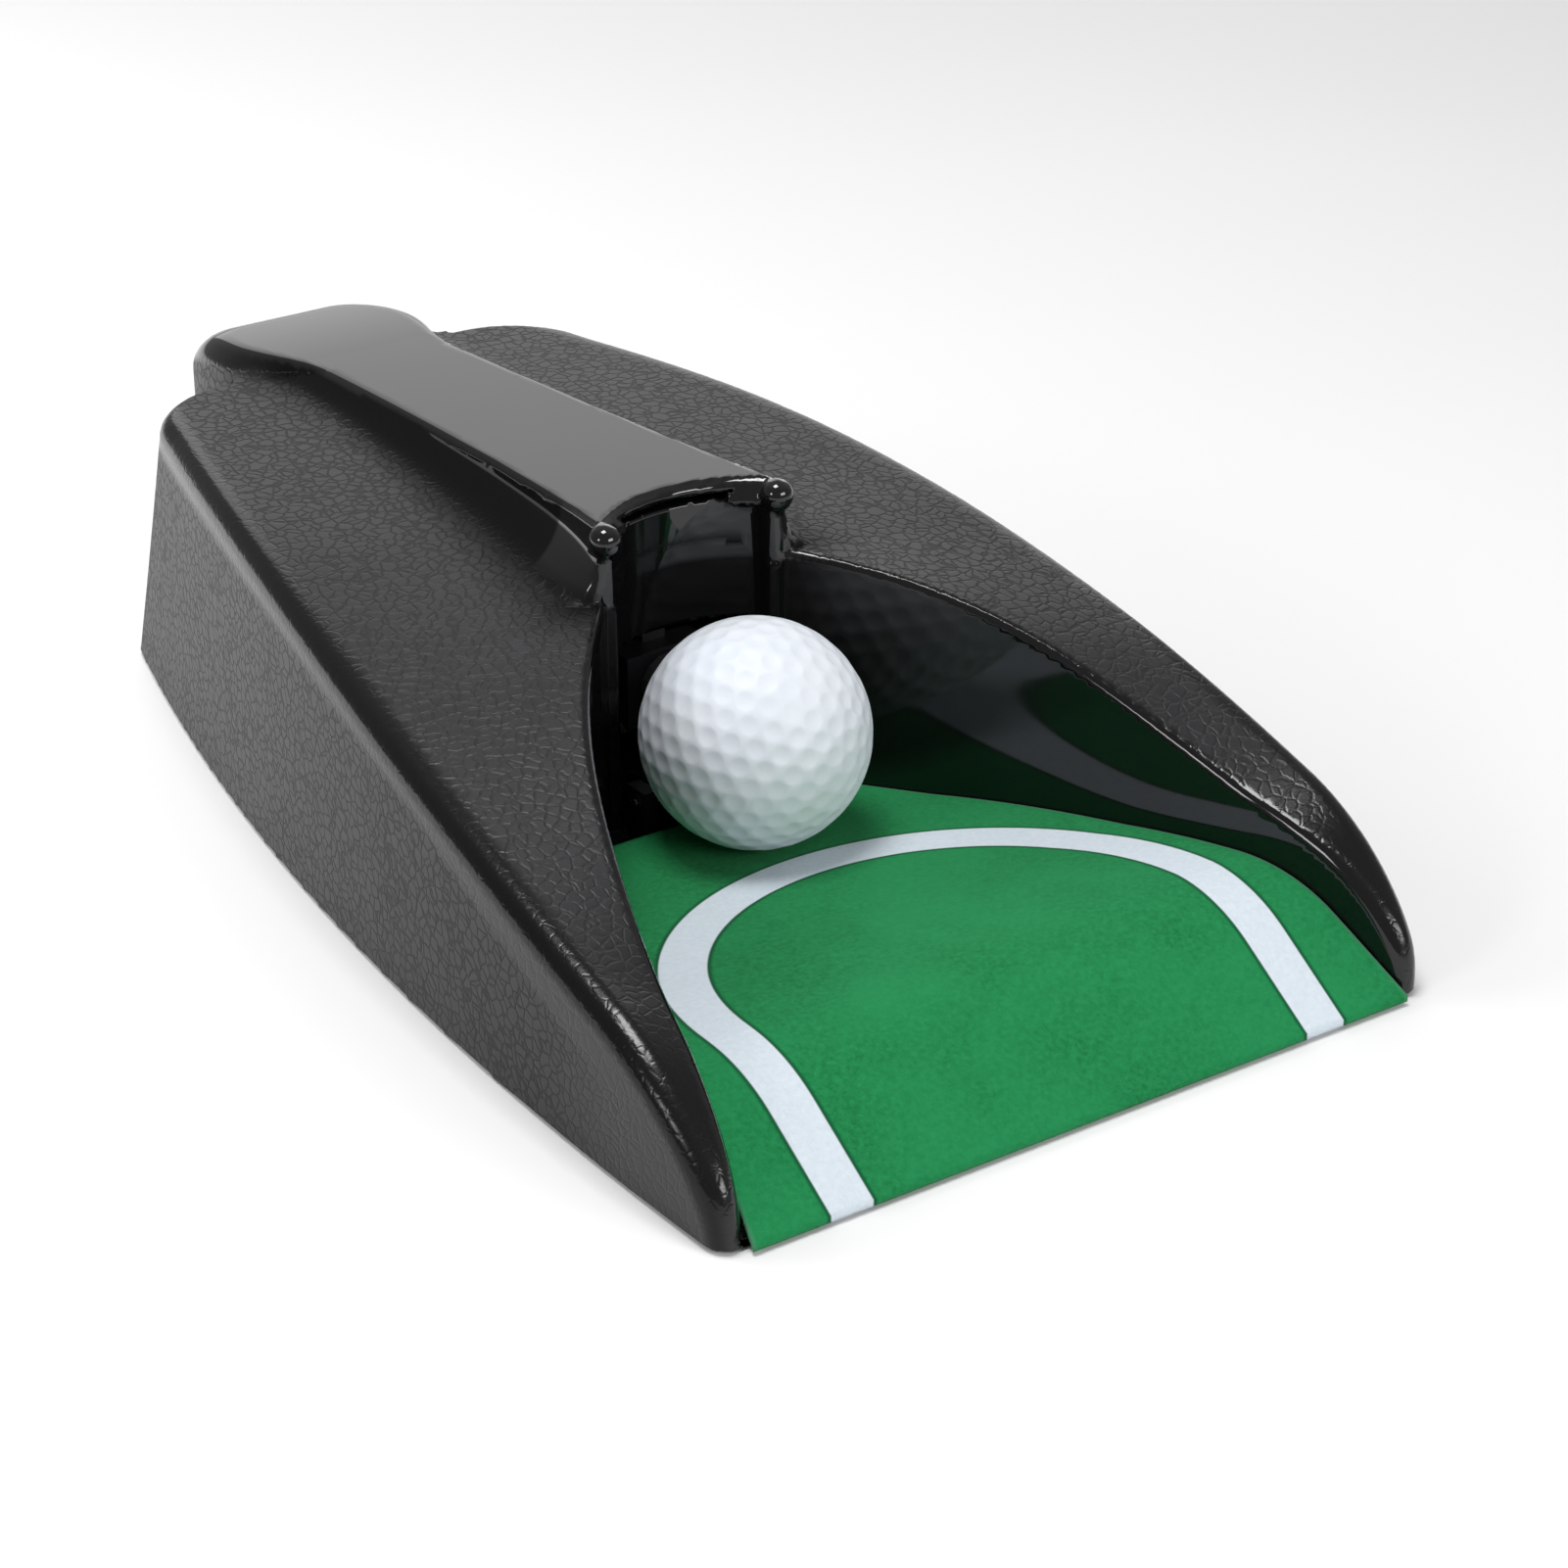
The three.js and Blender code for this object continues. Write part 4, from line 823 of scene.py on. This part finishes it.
FINISHES = {
    "plain_black": plastic_material("plain_black_abs", (0.012, 0.012, 0.013, 1), 0.5),
    "rubber_black": plastic_material("black_rubber", (0.010, 0.010, 0.010, 1), 0.85),
    "steel": plastic_material("bright_steel", (0.56, 0.57, 0.59, 1), 0.28, metallic=1.0),
    "motor_can": plastic_material("motor_steel", (0.48, 0.48, 0.50, 1), 0.35, metallic=1.0),
    "cell_wrap": plastic_material("cell_wrap_blue", (0.03, 0.055, 0.12, 1), 0.35),
    "contact_nickel": plastic_material("contact_nickel", (0.60, 0.57, 0.50, 1), 0.3, metallic=1.0),
    "gear_acetal": plastic_material("white_acetal", (0.78, 0.76, 0.68, 1), 0.42),
    "pinion_brass": plastic_material("pinion_brass", (0.62, 0.45, 0.18, 1), 0.3, metallic=1.0),
    "lever_grey": plastic_material("dark_grey_abs", (0.020, 0.020, 0.023, 1), 0.45),
    "lead_red": plastic_material("red_pvc", (0.40, 0.02, 0.015, 1), 0.45),
    "lead_black": plastic_material("black_pvc", (0.010, 0.010, 0.011, 1), 0.45),
}


def finish_cad_nodes():
    """Each node comes in with one material, named after its slot in the record."""
    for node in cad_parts.values():
        finish = FINISHES.get(node.data.materials[0].name)
        if finish is not None:
            node.data.materials.clear()
            node.data.materials.append(finish)


finish_cad_nodes()

# ---------------------------------------------------------------- floor, light and camera


WORLD_STRENGTH = 0.25
FLOOR_SIZE = 30


def floor_material():
    """Pale and even, with a faint cloud."""
    m = Nodes("pale_floor", Roughness=0.9)
    tone = m.span(m.noise(3.0, detail=2.0), 0.3, 0.7)
    m.link(m.mix(tone, grey(0.93), grey(0.95)), m.shader.inputs["Base Color"])
    return m.material


def make_floor():
    bpy.ops.mesh.primitive_plane_add(size=FLOOR_SIZE)
    floor = bpy.context.object
    floor.name = "studio_floor"
    floor.data.materials.append(floor_material())


def add_light(name, place, target, size, power):
    """A rectangular lamp at a place, turned to its target."""
    data = bpy.data.lights.new(name, "AREA")
    data.shape = "RECTANGLE"
    data.size, data.size_y = size
    data.energy = power
    light = bpy.data.objects.new(name, data)
    light.location = place
    direction = Vector(target) - Vector(place)
    light.rotation_euler = direction.to_track_quat("-Z", "Y").to_euler()
    bpy.context.scene.collection.objects.link(light)
    return light


def add_card(name, place, target, size, radiance):
    """A soft box of even brightness: its power follows from its area."""
    return add_light(name, place, target, size, radiance * math.pi * size[0] * size[1])


def make_lights():
    world = bpy.data.worlds.new("studio")
    world.use_nodes = True
    back = world.node_tree.nodes["Background"]
    back.inputs["Color"].default_value = (1, 1, 1, 1)
    back.inputs["Strength"].default_value = WORLD_STRENGTH
    bpy.context.scene.world = world
    add_card("overhead_box", (-0.15, 0.0, 1.15), (0, 0, 0), (0.42, 0.42), 13.0)
    add_card("card_behind", (0.80, 1.15, 0.54), (0, 0.05, 0.05), (1.2, 1.06), 0.9)
    wash = add_card("floor_wash", (-0.65, 0.65, 0.40), (-0.65, 0.65, 0), (0.9, 0.9), 3.0)
    wash.visible_glossy = False
    add_card("front_box", (0.25, -1.30, 0.62), (0, -0.05, 0.03), (0.8, 0.36), 8.0)
    add_card("left_box", (-1.25, -0.25, 0.62), (0, -0.05, 0.03), (0.28, 0.28), 10.0)


CAMERA_TARGET = Vector((-15.4, -73.0, 40.0)) * MM
CAMERA_DISTANCE = 704.9 * MM
CAMERA_AZIMUTH, CAMERA_ELEVATION = math.radians(35.3), math.radians(26.2)
CAMERA_LENS, CAMERA_SENSOR = 93.59, 36


def make_camera():
    data = bpy.data.cameras.new("photo_view")
    data.lens = CAMERA_LENS
    data.sensor_width = CAMERA_SENSOR
    camera = bpy.data.objects.new("photo_view", data)
    back = Vector((
        -math.sin(CAMERA_AZIMUTH) * math.cos(CAMERA_ELEVATION),
        -math.cos(CAMERA_AZIMUTH) * math.cos(CAMERA_ELEVATION),
        math.sin(CAMERA_ELEVATION),
    ))
    camera.location = CAMERA_TARGET + back * CAMERA_DISTANCE
    camera.rotation_euler = (-back).to_track_quat("-Z", "Y").to_euler()
    bpy.context.scene.collection.objects.link(camera)
    bpy.context.scene.camera = camera


bpy.context.scene.view_settings.view_transform = "Standard"
make_floor()
make_lights()
make_camera()
